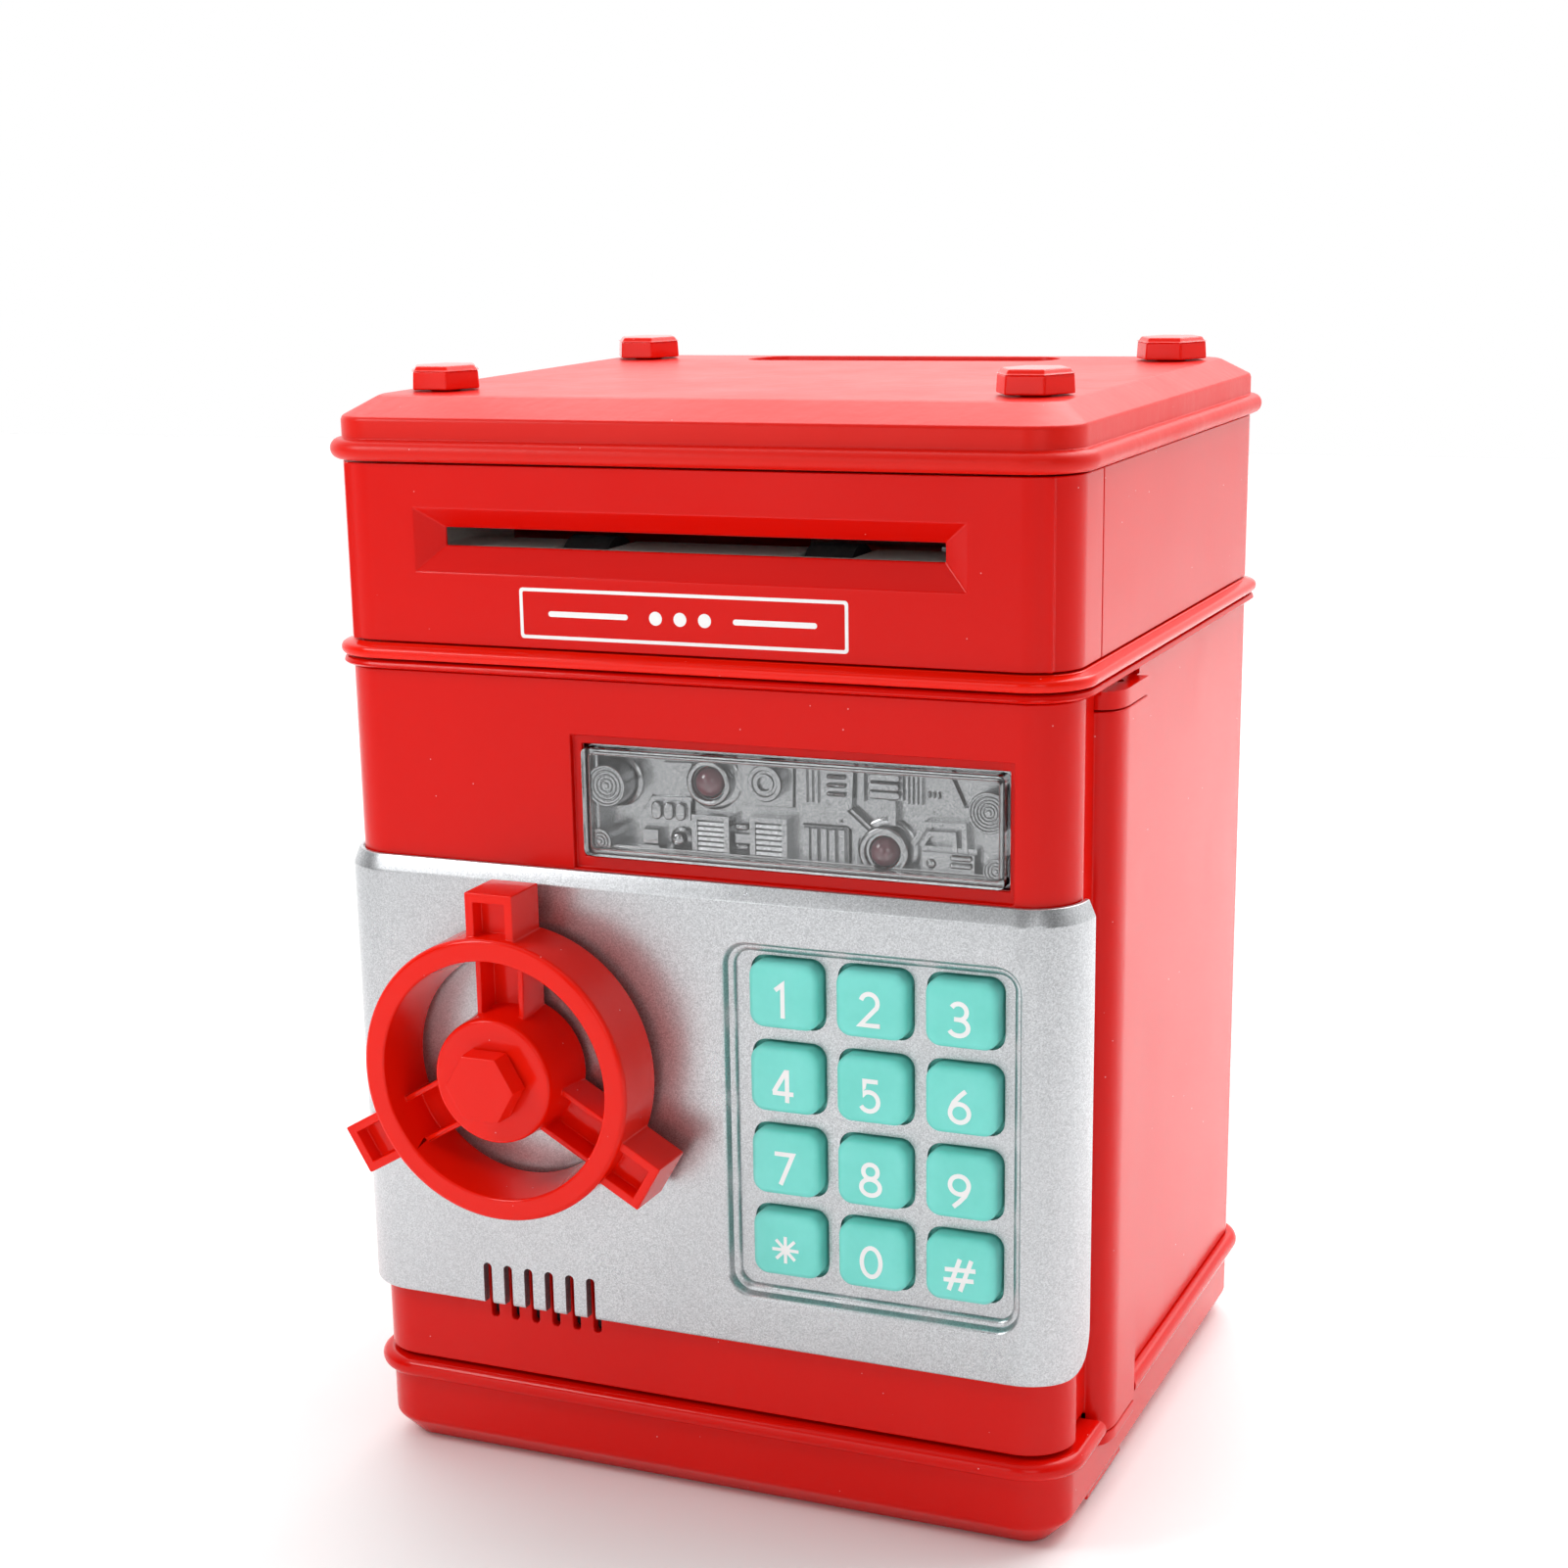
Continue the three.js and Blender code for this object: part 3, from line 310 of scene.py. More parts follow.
# ---------------------------------------------------------------- materials
class Nodes:
    """A material's node tree with short calls for what the finishes below share."""

    def __init__(self, name):
        self.material = bpy.data.materials.new(name)
        self.material.use_nodes = True
        self.tree = self.material.node_tree
        self.tree.nodes.clear()
        self.out = self.tree.nodes.new("ShaderNodeOutputMaterial")
        self.shader = self.tree.nodes.new("ShaderNodeBsdfPrincipled")
        self.link(self.shader.outputs[0], self.out.inputs[0])
        self.place = self.tree.nodes.new("ShaderNodeTexCoord").outputs["Object"]

    def link(self, a, b):
        self.tree.links.new(a, b)

    def noise(self, scale, detail=3, rough=0.5, stretch=None):
        node = self.tree.nodes.new("ShaderNodeTexNoise")
        node.inputs["Scale"].default_value = scale
        node.inputs["Detail"].default_value = detail
        node.inputs["Roughness"].default_value = rough
        self.link(self.stretched(stretch), node.inputs["Vector"])
        return node.outputs["Fac"]

    def stretched(self, stretch):
        if not stretch:
            return self.place
        mapping = self.tree.nodes.new("ShaderNodeMapping")
        mapping.inputs["Scale"].default_value = stretch
        self.link(self.place, mapping.inputs["Vector"])
        return mapping.outputs[0]

    def cells(self, scale, output="Distance"):
        node = self.tree.nodes.new("ShaderNodeTexVoronoi")
        node.inputs["Scale"].default_value = scale
        self.link(self.place, node.inputs["Vector"])
        return node.outputs[output]

    def remap(self, value, low, high, to_low, to_high):
        node = self.tree.nodes.new("ShaderNodeMapRange")
        for i, v in enumerate((low, high, to_low, to_high)):
            node.inputs[i + 1].default_value = v
        self.link(value, node.inputs[0])
        return node.outputs[0]

    def mix(self, factor, a, b):
        node = self.tree.nodes.new("ShaderNodeMix")
        node.data_type = "RGBA"
        self.link(factor, node.inputs["Factor"])
        for value, socket in ((a, node.inputs[6]), (b, node.inputs[7])):
            if isinstance(value, bpy.types.NodeSocket):
                self.link(value, socket)
            else:
                socket.default_value = (*value, 1)
        return node.outputs[2]

    def bump(self, height, strength, distance, normal=None):
        node = self.tree.nodes.new("ShaderNodeBump")
        node.inputs["Strength"].default_value = strength
        node.inputs["Distance"].default_value = distance
        self.link(height, node.inputs["Height"])
        if normal is not None:
            self.link(normal, node.inputs["Normal"])
        return node.outputs[0]

    def set(self, **values):
        for name, value in values.items():
            self.shader.inputs[name.replace("_", " ")].default_value = value
        return self


def moulded(name, light, dark, rough=(0.14, 0.24), grain=0.05, painted_glints=True, ior=1.45):
    """Injection-moulded plastic: faint flow marks, smears in its gloss, a fine orange peel, and pale specks
    painted into the colour as glints off the orange peel.
    """
    n = Nodes(name)
    flow = n.remap(n.noise(14, 4, 0.6, (1, 1, 0.35)), 0.3, 0.7, 0, 1)
    colour = n.mix(flow, dark, light)
    if painted_glints:
        # Painted highlight: tiny pale specks of the plastic's own colour, lightened, painted in where the
        # orange peel would glint.
        painted_glint_mask = n.remap(n.cells(230), 0.018, 0.03, 1, 0)
        colour = n.mix(painted_glint_mask, colour, tuple(min(1, c * 0.6 + 0.35) for c in light))
    n.link(colour, n.shader.inputs["Base Color"])
    n.link(n.remap(n.noise(38, 5, 0.65), 0.3, 0.72, *rough), n.shader.inputs["Roughness"])
    peel = n.bump(n.noise(420, 2, 0.4), grain, 0.0004)
    n.link(n.bump(n.noise(26, 2, 0.4), 0.06, 0.003, peel), n.shader.inputs["Normal"])
    n.set(IOR=ior)
    return n.material


def silver(name, dark, light, metallic, rough):
    """Sprayed metallic paint: flakes of several brightnesses, each tilted its own way."""
    n = Nodes(name)
    tone = n.remap(n.cells(5200, "Color"), 0, 1, 0, 1)
    colour = n.mix(tone, dark, light)
    cloud = n.remap(n.noise(30, 4, 0.55), 0.3, 0.7, 0, 0.35)
    middle = tuple((a + b) / 2 for a, b in zip(dark, light))
    n.link(n.mix(cloud, colour, middle), n.shader.inputs["Base Color"])
    n.link(n.remap(n.noise(55, 4, 0.6), 0.3, 0.7, *rough), n.shader.inputs["Roughness"])
    n.link(n.bump(tone, 0.11, 0.00025), n.shader.inputs["Normal"])
    n.set(Metallic=metallic, Coat_Weight=0.25, Coat_Roughness=0.12)
    return n.material


def metal(name, light, dark, rough=(0.22, 0.38)):
    """Drawn or turned metal with fine lines along its length."""
    n = Nodes(name)
    lines = n.noise(60, 4, 0.6, (1, 30, 30))
    n.link(n.mix(n.remap(lines, 0.3, 0.7, 0, 1), dark, light), n.shader.inputs["Base Color"])
    n.link(n.remap(n.noise(90, 3, 0.5), 0.3, 0.7, *rough), n.shader.inputs["Roughness"])
    n.link(n.bump(lines, 0.12, 0.0003), n.shader.inputs["Normal"])
    n.set(Metallic=1.0)
    return n.material


def keys_plastic(name):
    """Satin key plastic, faintly mottled, that lets a little light in."""
    n = Nodes(name)
    mottle = n.remap(n.noise(120, 4, 0.6), 0.3, 0.7, 0, 1)
    colour = n.mix(mottle, (0.17, 0.71, 0.62), (0.21, 0.77, 0.69))
    n.link(colour, n.shader.inputs["Base Color"])
    n.link(n.remap(n.noise(260, 4, 0.6), 0.3, 0.7, 0.36, 0.5), n.shader.inputs["Roughness"])
    n.link(n.bump(n.noise(1500, 2, 0.5), 0.1, 0.0002), n.shader.inputs["Normal"])
    n.set(Subsurface_Weight=0.12, Subsurface_Radius=(0.4, 1.0, 0.8), Subsurface_Scale=0.0015)
    return n.material


def lens_plastic(name):
    """Clear moulded plastic with faint ripples."""
    n = Nodes(name)
    n.link(n.remap(n.noise(60, 3, 0.5), 0.3, 0.7, 0.01, 0.05), n.shader.inputs["Roughness"])
    n.link(n.mix(n.noise(30, 2, 0.5), (0.97, 0.98, 0.985), (1, 1, 1)), n.shader.inputs["Base Color"])
    n.link(n.bump(n.noise(90, 2, 0.4), 0.03, 0.0005), n.shader.inputs["Normal"])
    n.set(Transmission_Weight=1.0, IOR=1.46)
    return n.material


def lamp_plastic(name):
    """Dark tinted dome of an unlit lamp."""
    n = Nodes(name)
    tint = n.mix(n.noise(300, 3, 0.5), (0.16, 0.045, 0.065), (0.25, 0.09, 0.11))
    n.link(tint, n.shader.inputs["Base Color"])
    n.link(n.remap(n.noise(200, 3, 0.5), 0.3, 0.7, 0.04, 0.1), n.shader.inputs["Roughness"])
    n.link(n.bump(n.noise(700, 2, 0.4), 0.02, 0.0002), n.shader.inputs["Normal"])
    n.set(Coat_Weight=0.6, Coat_Roughness=0.03)
    return n.material


def rubber(name, light=(0.03, 0.03, 0.032), dark=(0.012, 0.012, 0.013)):
    """Matt rubber with a fine, even grain."""
    n = Nodes(name)
    n.link(n.mix(n.noise(160, 5, 0.6), dark, light), n.shader.inputs["Base Color"])
    n.link(n.remap(n.noise(300, 3, 0.6), 0.3, 0.7, 0.55, 0.8), n.shader.inputs["Roughness"])
    n.link(n.bump(n.noise(2200, 3, 0.6), 0.3, 0.0003), n.shader.inputs["Normal"])
    return n.material


def board(name):
    """Green solder mask over darker and lighter copper areas."""
    n = Nodes(name)
    copper = n.remap(n.cells(260, "Color"), 0.45, 0.55, 0, 1)
    n.link(n.mix(copper, (0.012, 0.10, 0.045), (0.02, 0.16, 0.07)), n.shader.inputs["Base Color"])
    n.link(n.remap(n.noise(200, 3, 0.5), 0.3, 0.7, 0.25, 0.4), n.shader.inputs["Roughness"])
    n.link(n.bump(copper, 0.3, 0.0001), n.shader.inputs["Normal"])
    return n.material


def ink(name):
    """White printed ink."""
    n = Nodes(name)
    n.link(n.mix(n.noise(400, 4, 0.6), (0.86, 0.87, 0.86), (0.95, 0.95, 0.94)), n.shader.inputs["Base Color"])
    n.link(n.remap(n.noise(500, 3, 0.6), 0.3, 0.7, 0.4, 0.55), n.shader.inputs["Roughness"])
    n.link(n.bump(n.noise(1800, 2, 0.5), 0.15, 0.0001), n.shader.inputs["Normal"])
    return n.material


RED = moulded("red_plastic", (0.69, 0.004, 0.0008), (0.64, 0.003, 0.0006), ior=1.3)
RED_SATIN = moulded(
    "red_satin", (0.72, 0.008, 0.002), (0.67, 0.006, 0.001), rough=(0.3, 0.42), grain=0.16, ior=1.32
)
BRIGHT_RED = moulded(
    "bright_red_plastic", (0.86, 0.010, 0.002), (0.81, 0.008, 0.001), rough=(0.1, 0.2), grain=0.03, ior=1.31
)
SILVER = silver("silver_paint", (0.36, 0.37, 0.385), (0.70, 0.715, 0.73), metallic=0.85, rough=(0.26, 0.36))
PANEL_SILVER = silver(
    "panel_silver", (0.22, 0.225, 0.23), (0.46, 0.465, 0.47), metallic=1.0, rough=(0.13, 0.24)
)
TURQUOISE = keys_plastic("turquoise_keys")
CLEAR = lens_plastic("clear_lens")
LAMP = lamp_plastic("lamp_plastic")
STEEL = metal("steel", (0.66, 0.67, 0.69), (0.45, 0.46, 0.48))
BRASS = metal("brass", (0.72, 0.50, 0.20), (0.52, 0.34, 0.12), (0.2, 0.35))
BLACK = rubber("black_rubber")
SPEAKER_BLACK = rubber("speaker_black", (0.05, 0.05, 0.055), (0.02, 0.02, 0.022))
MAT = rubber("key_mat_rubber", (0.62, 0.62, 0.6), (0.5, 0.5, 0.48))
WHITE = moulded(
    "white_plastic", (0.80, 0.79, 0.75), (0.72, 0.71, 0.67), rough=(0.35, 0.5), grain=0.1, painted_glints=False
)
BOARD = board("circuit_board")
SLEEVE = moulded("cell_sleeve", (0.03, 0.16, 0.06), (0.02, 0.11, 0.04), rough=(0.2, 0.35), painted_glints=False)
INK = ink("white_ink")

BY_SLOT = {
    "red_plastic": RED,
    "bright_red_plastic": BRIGHT_RED,
    "silver_paint": SILVER,
    "turquoise_keys": TURQUOISE,
    "clear_lens": CLEAR,
    "lamp_plastic": LAMP,
    "steel": STEEL,
    "black_rubber": BLACK,
    "speaker_black": SPEAKER_BLACK,
    "white_plastic": WHITE,
    "key_mat_rubber": MAT,
    "circuit_board": BOARD,
    "brass": BRASS,
    "cell_sleeve": SLEEVE,
}


def dress_cad_nodes():
    """The carried-over nodes get their slot's finish, merged vertices and no needless edges on flat faces."""
    slots = {s["node"]: s["material_slot"] for s in frame["record"]["subparts"]}
    for name, obj in frame["nodes"].items():
        obj.data.materials.clear()
        obj.data.materials.append(BY_SLOT[slots[name]])
        weld = obj.modifiers.new("weld", "WELD")
        weld.merge_threshold = 2e-6
        flat = obj.modifiers.new("flat", "DECIMATE")
        flat.decimate_type = "DISSOLVE"
        flat.angle_limit = FLAT_ANGLE


# ---------------------------------------------------------------- cabinet
def column_plan(margin=0):
    """The hinge column's plan: rounded in front, flat outside."""
    front, back = COLUMN_FRONT - margin, COLUMN_BACK + margin
    inner, outer = COLUMN_INNER - margin, COLUMN_OUTER + margin
    points = [(inner, front)]
    for i in range(13):
        t = i / 12
        x = (1 - t) ** 2 * 60.5 + 2 * t * (1 - t) * outer + t * t * outer
        y = (1 - t) ** 2 * front + 2 * t * (1 - t) * front + t * t * -32
        points.append((x, y))
    return points + [(outer, back), (inner, back)]


def build_base():
    shell = loft([(-4.5, 0), (-3.9, 0.2), (-0.5, 3.7), (-0.15, 4.2), (0, 4.9), *bead(BASE_BEAD_Z)])
    hollow = loft([(-6, WALL), (-2.2, 6.5), (-2.2, 14.5)])
    mouth = box(-60, 60, -36, 55, 14, BASE_TOP + 1)
    sweep = common(
        rod("Z", HINGE_X, HINGE_Y, EAR_LOW[1], BASE_TOP + 1, 11.6, sides=72),
        box(COLUMN_INNER - 0.4, BEYOND, -40, HINGE_Y, 10, 20),
    )
    cut(shell, hollow, mouth)
    join(
        shell,
        box(54, 62, -39, -19, 1.5, EAR_LOW[1]),
        prism("Z", column_plan(), *EAR_LOW),
        box(-30, -28.7, 3.4, 50.4, 1.5, 15.5),
        box(28.7, 30, 3.4, 50.4, 1.5, 15.5),
        box(-30, 30, 48.5, 50.4, 2.1, 15.5),
        box(-3, 3, 48.3, 51.5, 2.1, 15.5),
    )
    cut(
        shell,
        prism("Z", column_plan(0.4), EAR_LOW[1], BASE_TOP + 1),
        rod("Z", HINGE_X, HINGE_Y, EAR_LOW[1], BASE_TOP + 1, 7.8),
        sweep,
        rod("Z", HINGE_X, HINGE_Y, 5, EAR_LOW[1] + 1, BORE_R),
        box(-28.4, 28.4, 4.4, 52.5, -1, 2.05),
        rod("Z", 0, 49.6, 1, 12, 1.25),
    )
    finish(shell, "base", RED, "case", ["base_tray"], bevel=0.3)


def build_case():
    lip = [(0, -0.6), (0.25, -0.15), (1.2, 0.05), (1.6, 0.4), (1.5, 0.9)]
    lip = [(offset, CASE_LIP_Z + rise) for offset, rise in lip]
    walls = loft([(0, CASE_BOTTOM), *lip, (1.1, DECK_Z - GAP)])
    cut(
        walls,
        loft([(-WALL, CASE_FLOOR), (-WALL, CASE_LIP_Z - 1.5)]),
        loft([(-7, CASE_LIP_Z - 2), (-7, DECK_Z + 1)]),
        box(-BEYOND, BEYOND, -BEYOND, DOOR_RETURN + GAP, 10, CASE_LIP_Z),
        box(-61, BEYOND, -BEYOND, -37.8, 10, CASE_LIP_Z),
        box(53, BEYOND, -BEYOND, -19.9, 10, CASE_LIP_Z),
    )
    join(
        walls,
        prism("Z", column_plan(), *EAR_HIGH),
        box(COLUMN_INNER, 63, -22, -19, *EAR_HIGH),
        box(COLUMN_INNER, 62, COLUMN_FRONT, -19, EAR_HIGH[1] - 0.5, CASE_LIP_Z + 0.5),
    )
    cut(walls, rod("Z", HINGE_X, HINGE_Y, EAR_HIGH[0] - 1, 138.2, BORE_R))
    finish(walls, "cabinet", RED, "case", ["case_shell"], bevel=0.25)


def build_deck():
    rim = [(1.2, 0), (1.7, 0.15), (BEAD, 0.7), (BEAD, 1.3), (1.75, 1.75), (1.2, 2.05), (0.2, 2.3)]
    deck = loft([(offset, DECK_Z + rise) for offset, rise in rim] + [(0, DECK_TOP)])
    cut(
        deck,
        box(-38, 38, -20, 8, DECK_Z - 1, DECK_TOP + 1),
        box(-15.5, 15.5, COIN_Y - 2.6, COIN_Y + 2.6, DECK_Z - 1, DECK_TOP + 1),
    )
    finish(deck, "deck", BRIGHT_RED, "case", ["middle_deck"], bevel=0.15)


def upper_ring():
    ring = loft([(0, UPPER_BOTTOM), (0, UPPER_TOP)])
    return cut(ring, loft([(-WALL, UPPER_BOTTOM - 1), (-WALL, UPPER_TOP + 1)]))


def build_upper():
    shell = cut(upper_ring(), box(-BEYOND, BEYOND, -BEYOND, FASCIA_BACK + GAP, 140, 180))
    finish(shell, "upper_walls", RED, "case", ["upper_shell"], bevel=0.2)
    fascia = join(upper_ring(), box(-60, 60, FRONT + 1, FRONT + 3.4, UPPER_BOTTOM, UPPER_TOP))
    outer, inner = ([(x0, z0), (x1, z0), (x1, z1), (x0, z1)] for x0, z0, x1, z1 in (NOTE_BEVEL, NOTE_SLOT))
    bevel = skin([standing(outer, FRONT - 0.5), standing(outer, FRONT), standing(inner, FRONT + 3)])
    x0, z0, x1, z1 = NOTE_SLOT
    cut(
        fascia,
        box(-BEYOND, BEYOND, FASCIA_BACK, BEYOND, 140, 180),
        bevel,
        box(x0, x1, FRONT - 1, FRONT + 5, z0, z1),
    )
    finish(fascia, "fascia", RED, "case", ["upper_fascia"], bevel=0.22)


def build_cap():
    hw, hd, r = CAP_FLAT
    flat = rounded(-hw, -hd, hw, hd, r, 12)
    edge = plan(0, CHAMFER_Z)
    rings = [plan(offset, z) for offset, z in bead(CAP_BEAD_Z)]
    rings += [plan(0, 177.0), plan(0, CHAMFER_Z - 0.5)]
    for share in (0.04, 0.93):
        ring = []
        for low, (x, y) in zip(edge, flat):
            ring.append(tuple(a + (b - a) * share for a, b in zip(low, (x, y, CAP_TOP))))
        rings.append(ring)
    rings.append([(x * 0.996, y * 0.996, CAP_TOP) for x, y in flat])
    cap = skin(rings)
    hollow = skin(
        [
            plan(-WALL, CAP_BOTTOM - 1),
            plan(-WALL, CHAMFER_Z - 1.2),
            [(x, y, CAP_TOP - WALL) for x, y in rounded(-56.5, -48.2, 56.5, 48.2, 3, 12)],
        ]
    )
    cut(
        cap,
        hollow,
        prism("Z", rounded(-30, COIN_Y - 6, 30, COIN_Y + 6, 5.5), CAP_TOP - 0.7, CAP_TOP + 1),
        box(-COIN_SLOT_HALF, COIN_SLOT_HALF, COIN_Y - 1.7, COIN_Y + 1.7, CAP_TOP - 5, CAP_TOP + 1),
        *[rod("Z", x, y, CAP_TOP - 5, CAP_TOP + 1, 2.6) for x, y in CAP_BOLTS.values()],
    )
    finish(cap, "cap", RED_SATIN, "case", ["top_cap"], bevel=0.2)
    for name, (x, y) in CAP_BOLTS.items():
        head = rod("Z", x, y, CAP_TOP + GAP, BOLT_TOP, 6.35, 6.1, 6)
        common(head, rod("Z", x, y, CAP_TOP, BOLT_SHOULDER + 0.1, 9, sides=6))
        crown = rod("Z", x, y, BOLT_SHOULDER, BOLT_TOP, 6.1, 5.5, 6)
        join(head, crown, rod("Z", x, y, CAP_TOP - 6, CAP_TOP + 1, BOLT_STEM_R))
        finish(head, name + "_head", BRIGHT_RED, "case", [name], bevel=0.28, sharp=20)


# ---------------------------------------------------------------- door
def speaker_slots(front, back, grow=0.0):
    half = SLOT_WIDTH / 2 + grow
    slots = []
    for i in range(6):
        x = SPEAKER_X + (i - 2.5) * SLOT_PITCH
        outline = rounded(x - half, SLOT_LOW - grow, x + half, SLOT_HIGH + grow, half * 0.98, 6)
        slots.append(prism("Y", outline, front, back))
    return slots


def build_door():
    shell = loft([(0, DOOR_BOTTOM), (0, DOOR_TOP)])
    inside = loft([(-WALL, DOOR_BOTTOM - 1), (-WALL, DOOR_TOP + 1)])
    cut(shell, inside, box(-BEYOND, BEYOND, DOOR_RETURN, BEYOND, 0, 150))
    walls = box(BOX_LEFT, BOX_LEFT + WALL, FRONT + 1, BOX_BACK, DOOR_BOTTOM, DOOR_TOP)
    join(
        walls,
        box(BOX_RIGHT - WALL, BOX_RIGHT, FRONT + 1, BOX_BACK, DOOR_BOTTOM, DOOR_TOP),
        box(BOX_LEFT, BOX_RIGHT, FRONT + 1, BOX_BACK, DOOR_TOP - WALL, DOOR_TOP),
        box(BOX_LEFT, BOX_RIGHT, FRONT + 1, BOX_BACK, DOOR_BOTTOM, DOOR_BOTTOM + WALL),
    )
    common(walls, loft([(-1, DOOR_BOTTOM), (-1, DOOR_TOP)]))
    posts = [rod("Y", POST_X, z, FRONT + 1, -40.7, 3) for z in POST_HEIGHTS]
    join(
        shell,
        walls,
        prism("Z", column_plan(), COLUMN_BOTTOM, COLUMN_TOP),
        box(BOX_RIGHT - WALL, BOX_RIGHT, BOX_BACK - 1, BOX_BACK + 1, DOOR_BOTTOM, COLUMN_TOP),
        rod("Y", WHEEL_X, WHEEL_Z, FRONT + 1, -49, 5.5),
        *posts,
    )
    x0, z0, x1, z1 = LENS
    cut(
        shell,
        box(x0 - 0.4, x1 + 0.4, -60, -50, z0 - 0.4, z1 + 0.4),
        box(-20, 54.5, -60, FRONT + 1, PLATE_TOP + 0.2, 130.4),
        box(PAD[0] - 1.7, PAD[2] + 1.7, -60, -50, PAD[1] - 1.7, PAD[3] + 1.7),
        rod("Y", WHEEL_X, WHEEL_Z, -60, -40, 3.1),
        *speaker_slots(-60, -50),
        *[rod("Y", POST_X, z, -52, -40, 1.15, sides=24) for z in POST_HEIGHTS],
        box(BOX_LEFT - 1, BOX_LEFT + WALL + 1, *LOCK_BOLT_SLOT),
        rod("Z", HINGE_X, HINGE_Y, COLUMN_BOTTOM - 1, 24, BORE_R),
        rod("Z", HINGE_X, HINGE_Y, 124, COLUMN_TOP + 1, BORE_R),
    )
    finish(shell, "door_skin", RED, "door", ["door_shell"], bevel=0.25)


def build_plate():
    rings = [(1.85, PLATE_BOTTOM), (2, PLATE_BOTTOM + 0.35), (2, PLATE_FACE - 0.3)]
    rings += [(1.9, PLATE_FACE + 0.1), (0.95, PLATE_TOP - 0.15), (0.75, PLATE_TOP)]
    plate = loft(rings)
    door_skin = loft([(GAP, PLATE_BOTTOM - 1), (GAP, PLATE_TOP + 1)])
    cut(plate, door_skin, box(-BEYOND, BEYOND, DOOR_RETURN, BEYOND, 0, 150))
    x0, z0, x1, z1 = PAD
    disc = [(0, 0.6), (DISC_R + 0.3, 0.6), (DISC_R + 0.3, -0.2), (DISC_R, -0.5), (0, -0.5)]
    join(
        plate,
        prism("Y", rounded(x0 - 1.2, z0 - 1.2, x1 + 1.2, z1 + 1.2, 5.2, 10), PLATE_FRONT + 0.5, PAD_BACK),
        turned([(r, PLATE_FRONT + depth) for r, depth in disc], WHEEL_X, WHEEL_Z),
    )
    sink_mark = [(0, 0.5), (14.0, 0.5), (14.0, 0.02), (12.2, -0.05), (0, -0.05)]
    sink_mark = turned([(r, PLATE_FRONT + depth) for r, depth in sink_mark], -27, 31.8)
    join(plate, common(sink_mark, box(-60, 0, -BEYOND, -50, PLATE_BOTTOM + 0.6, 60)))
    steps = [(-0.5, -1), (-0.5, 0), (-0.1, 0.25), (0.15, 0.7)]
    steps = [(inset, PLATE_FRONT + depth) for inset, depth in steps] + [(0.45, PAD_FLOOR - 1.0)]
    for t in (20, 40, 60, 75, 90):
        a = math.radians(t)
        steps.append((0.45 + 1.1 * math.sin(a), PAD_FLOOR - math.cos(a) * 1.0))
    recess = skin([standing(rounded(x0 + g, z0 + g, x1 - g, z1 - g, 4 - g, 10), y) for g, y in steps])
    w, h = KEY_W / 2 + KEY_PLAY, KEY_H / 2 + KEY_PLAY
    holes = []
    for z in KEY_ROWS:
        for x in KEY_COLUMNS:
            holes.append(prism("Y", rounded(x - w, z - h, x + w, z + h, KEY_R, 6), -59, -55))
    corner = arc(DOOR_RETURN - 8, PLATE_BOTTOM + 8, 8, 8, -90, 0, 12)
    corner += [(DOOR_RETURN + 1, PLATE_BOTTOM + 8), (DOOR_RETURN + 1, PLATE_BOTTOM - 1)]
    corner += [(DOOR_RETURN - 8, PLATE_BOTTOM - 1)]
    cut(
        plate,
        recess,
        *holes,
        prism("X", corner, -BEYOND, -50),
        prism("X", corner, 50, BEYOND),
        rod("Y", WHEEL_X, WHEEL_Z, -65, -50, 3.6),
        *speaker_slots(-65, -50, 0.12),
    )
    finish(plate, "silver_plate", SILVER, "door", ["face_plate"], bevel=0.2)


def build_window():
    x0, z0, x1, z1 = LENS
    lens = prism("Y", rounded(x0, z0, x1, z1, 1.0, 6), LENS_FRONT, -55.4)
    join(lens, box(x0 - 1.8, x1 + 1.8, -55.7, -54.7, z0 - 1.8, z1 + 1.8))
    cut(lens, prism("Y", rounded(x0 + 1, z0 + 1, x1 - 1, z1 - 1, 0.6, 6), LENS_FRONT + 1, -54))
    finish(lens, "lens", CLEAR, "door", ["window_lens"], bevel=0.2)


# ---------------------------------------------------------------- relief behind the lens
RELIEF_ROOT = TRAY_FLOOR + 0.4


def ring_boss(x, z, r, top, rings):
    """A round boss with concentric ridges on its end."""
    profile = [(0, RELIEF_ROOT), (r, RELIEF_ROOT), (r * 0.97, top + 0.25), (r * 0.93, top)]
    inner = r * 0.86
    step = inner * 0.9 / rings
    for k in range(rings):
        edge = inner - step * k
        profile += [(edge, top), (edge - step * 0.25, top + 0.3)]
        profile += [(edge - step * 0.6, top + 0.3), (edge - step * 0.85, top)]
    return turned(profile + [(0, top)], x, z, 48)


def slab(points, front, draft=0.35):
    """A low plate with sloping sides."""
    cx, cz = (sum(values) / len(points) for values in zip(*points))
    small = []
    for x, z in points:
        d = Vector((cx - x, cz - z))
        d = d * min(0.5, draft / max(d.length, 0.01))
        small.append((x + d.x, z + d.y))
    return skin([standing(points, RELIEF_ROOT), standing(points, TRAY_FLOOR), standing(small, front)])


def block(xa, xb, za, zb, front, draft=0.3):
    return slab([(xa, za), (xb, za), (xb, zb), (xa, zb)], front, draft)


def pill(cx, cz, w, h, front):
    """A bar with rounded ends and a sloping rim."""
    r, rim = min(w, h) / 2 * 0.95, 0.3
    x0, z0, x1, z1 = cx - w / 2, cz - h / 2, cx + w / 2, cz + h / 2
    ring = rounded(x0, z0, x1, z1, r, 6)
    small = rounded(x0 + rim, z0 + rim, x1 - rim, z1 - rim, max(0.1, r - rim), 6)
    return skin([standing(ring, RELIEF_ROOT), standing(ring, front + rim), standing(small, front)])


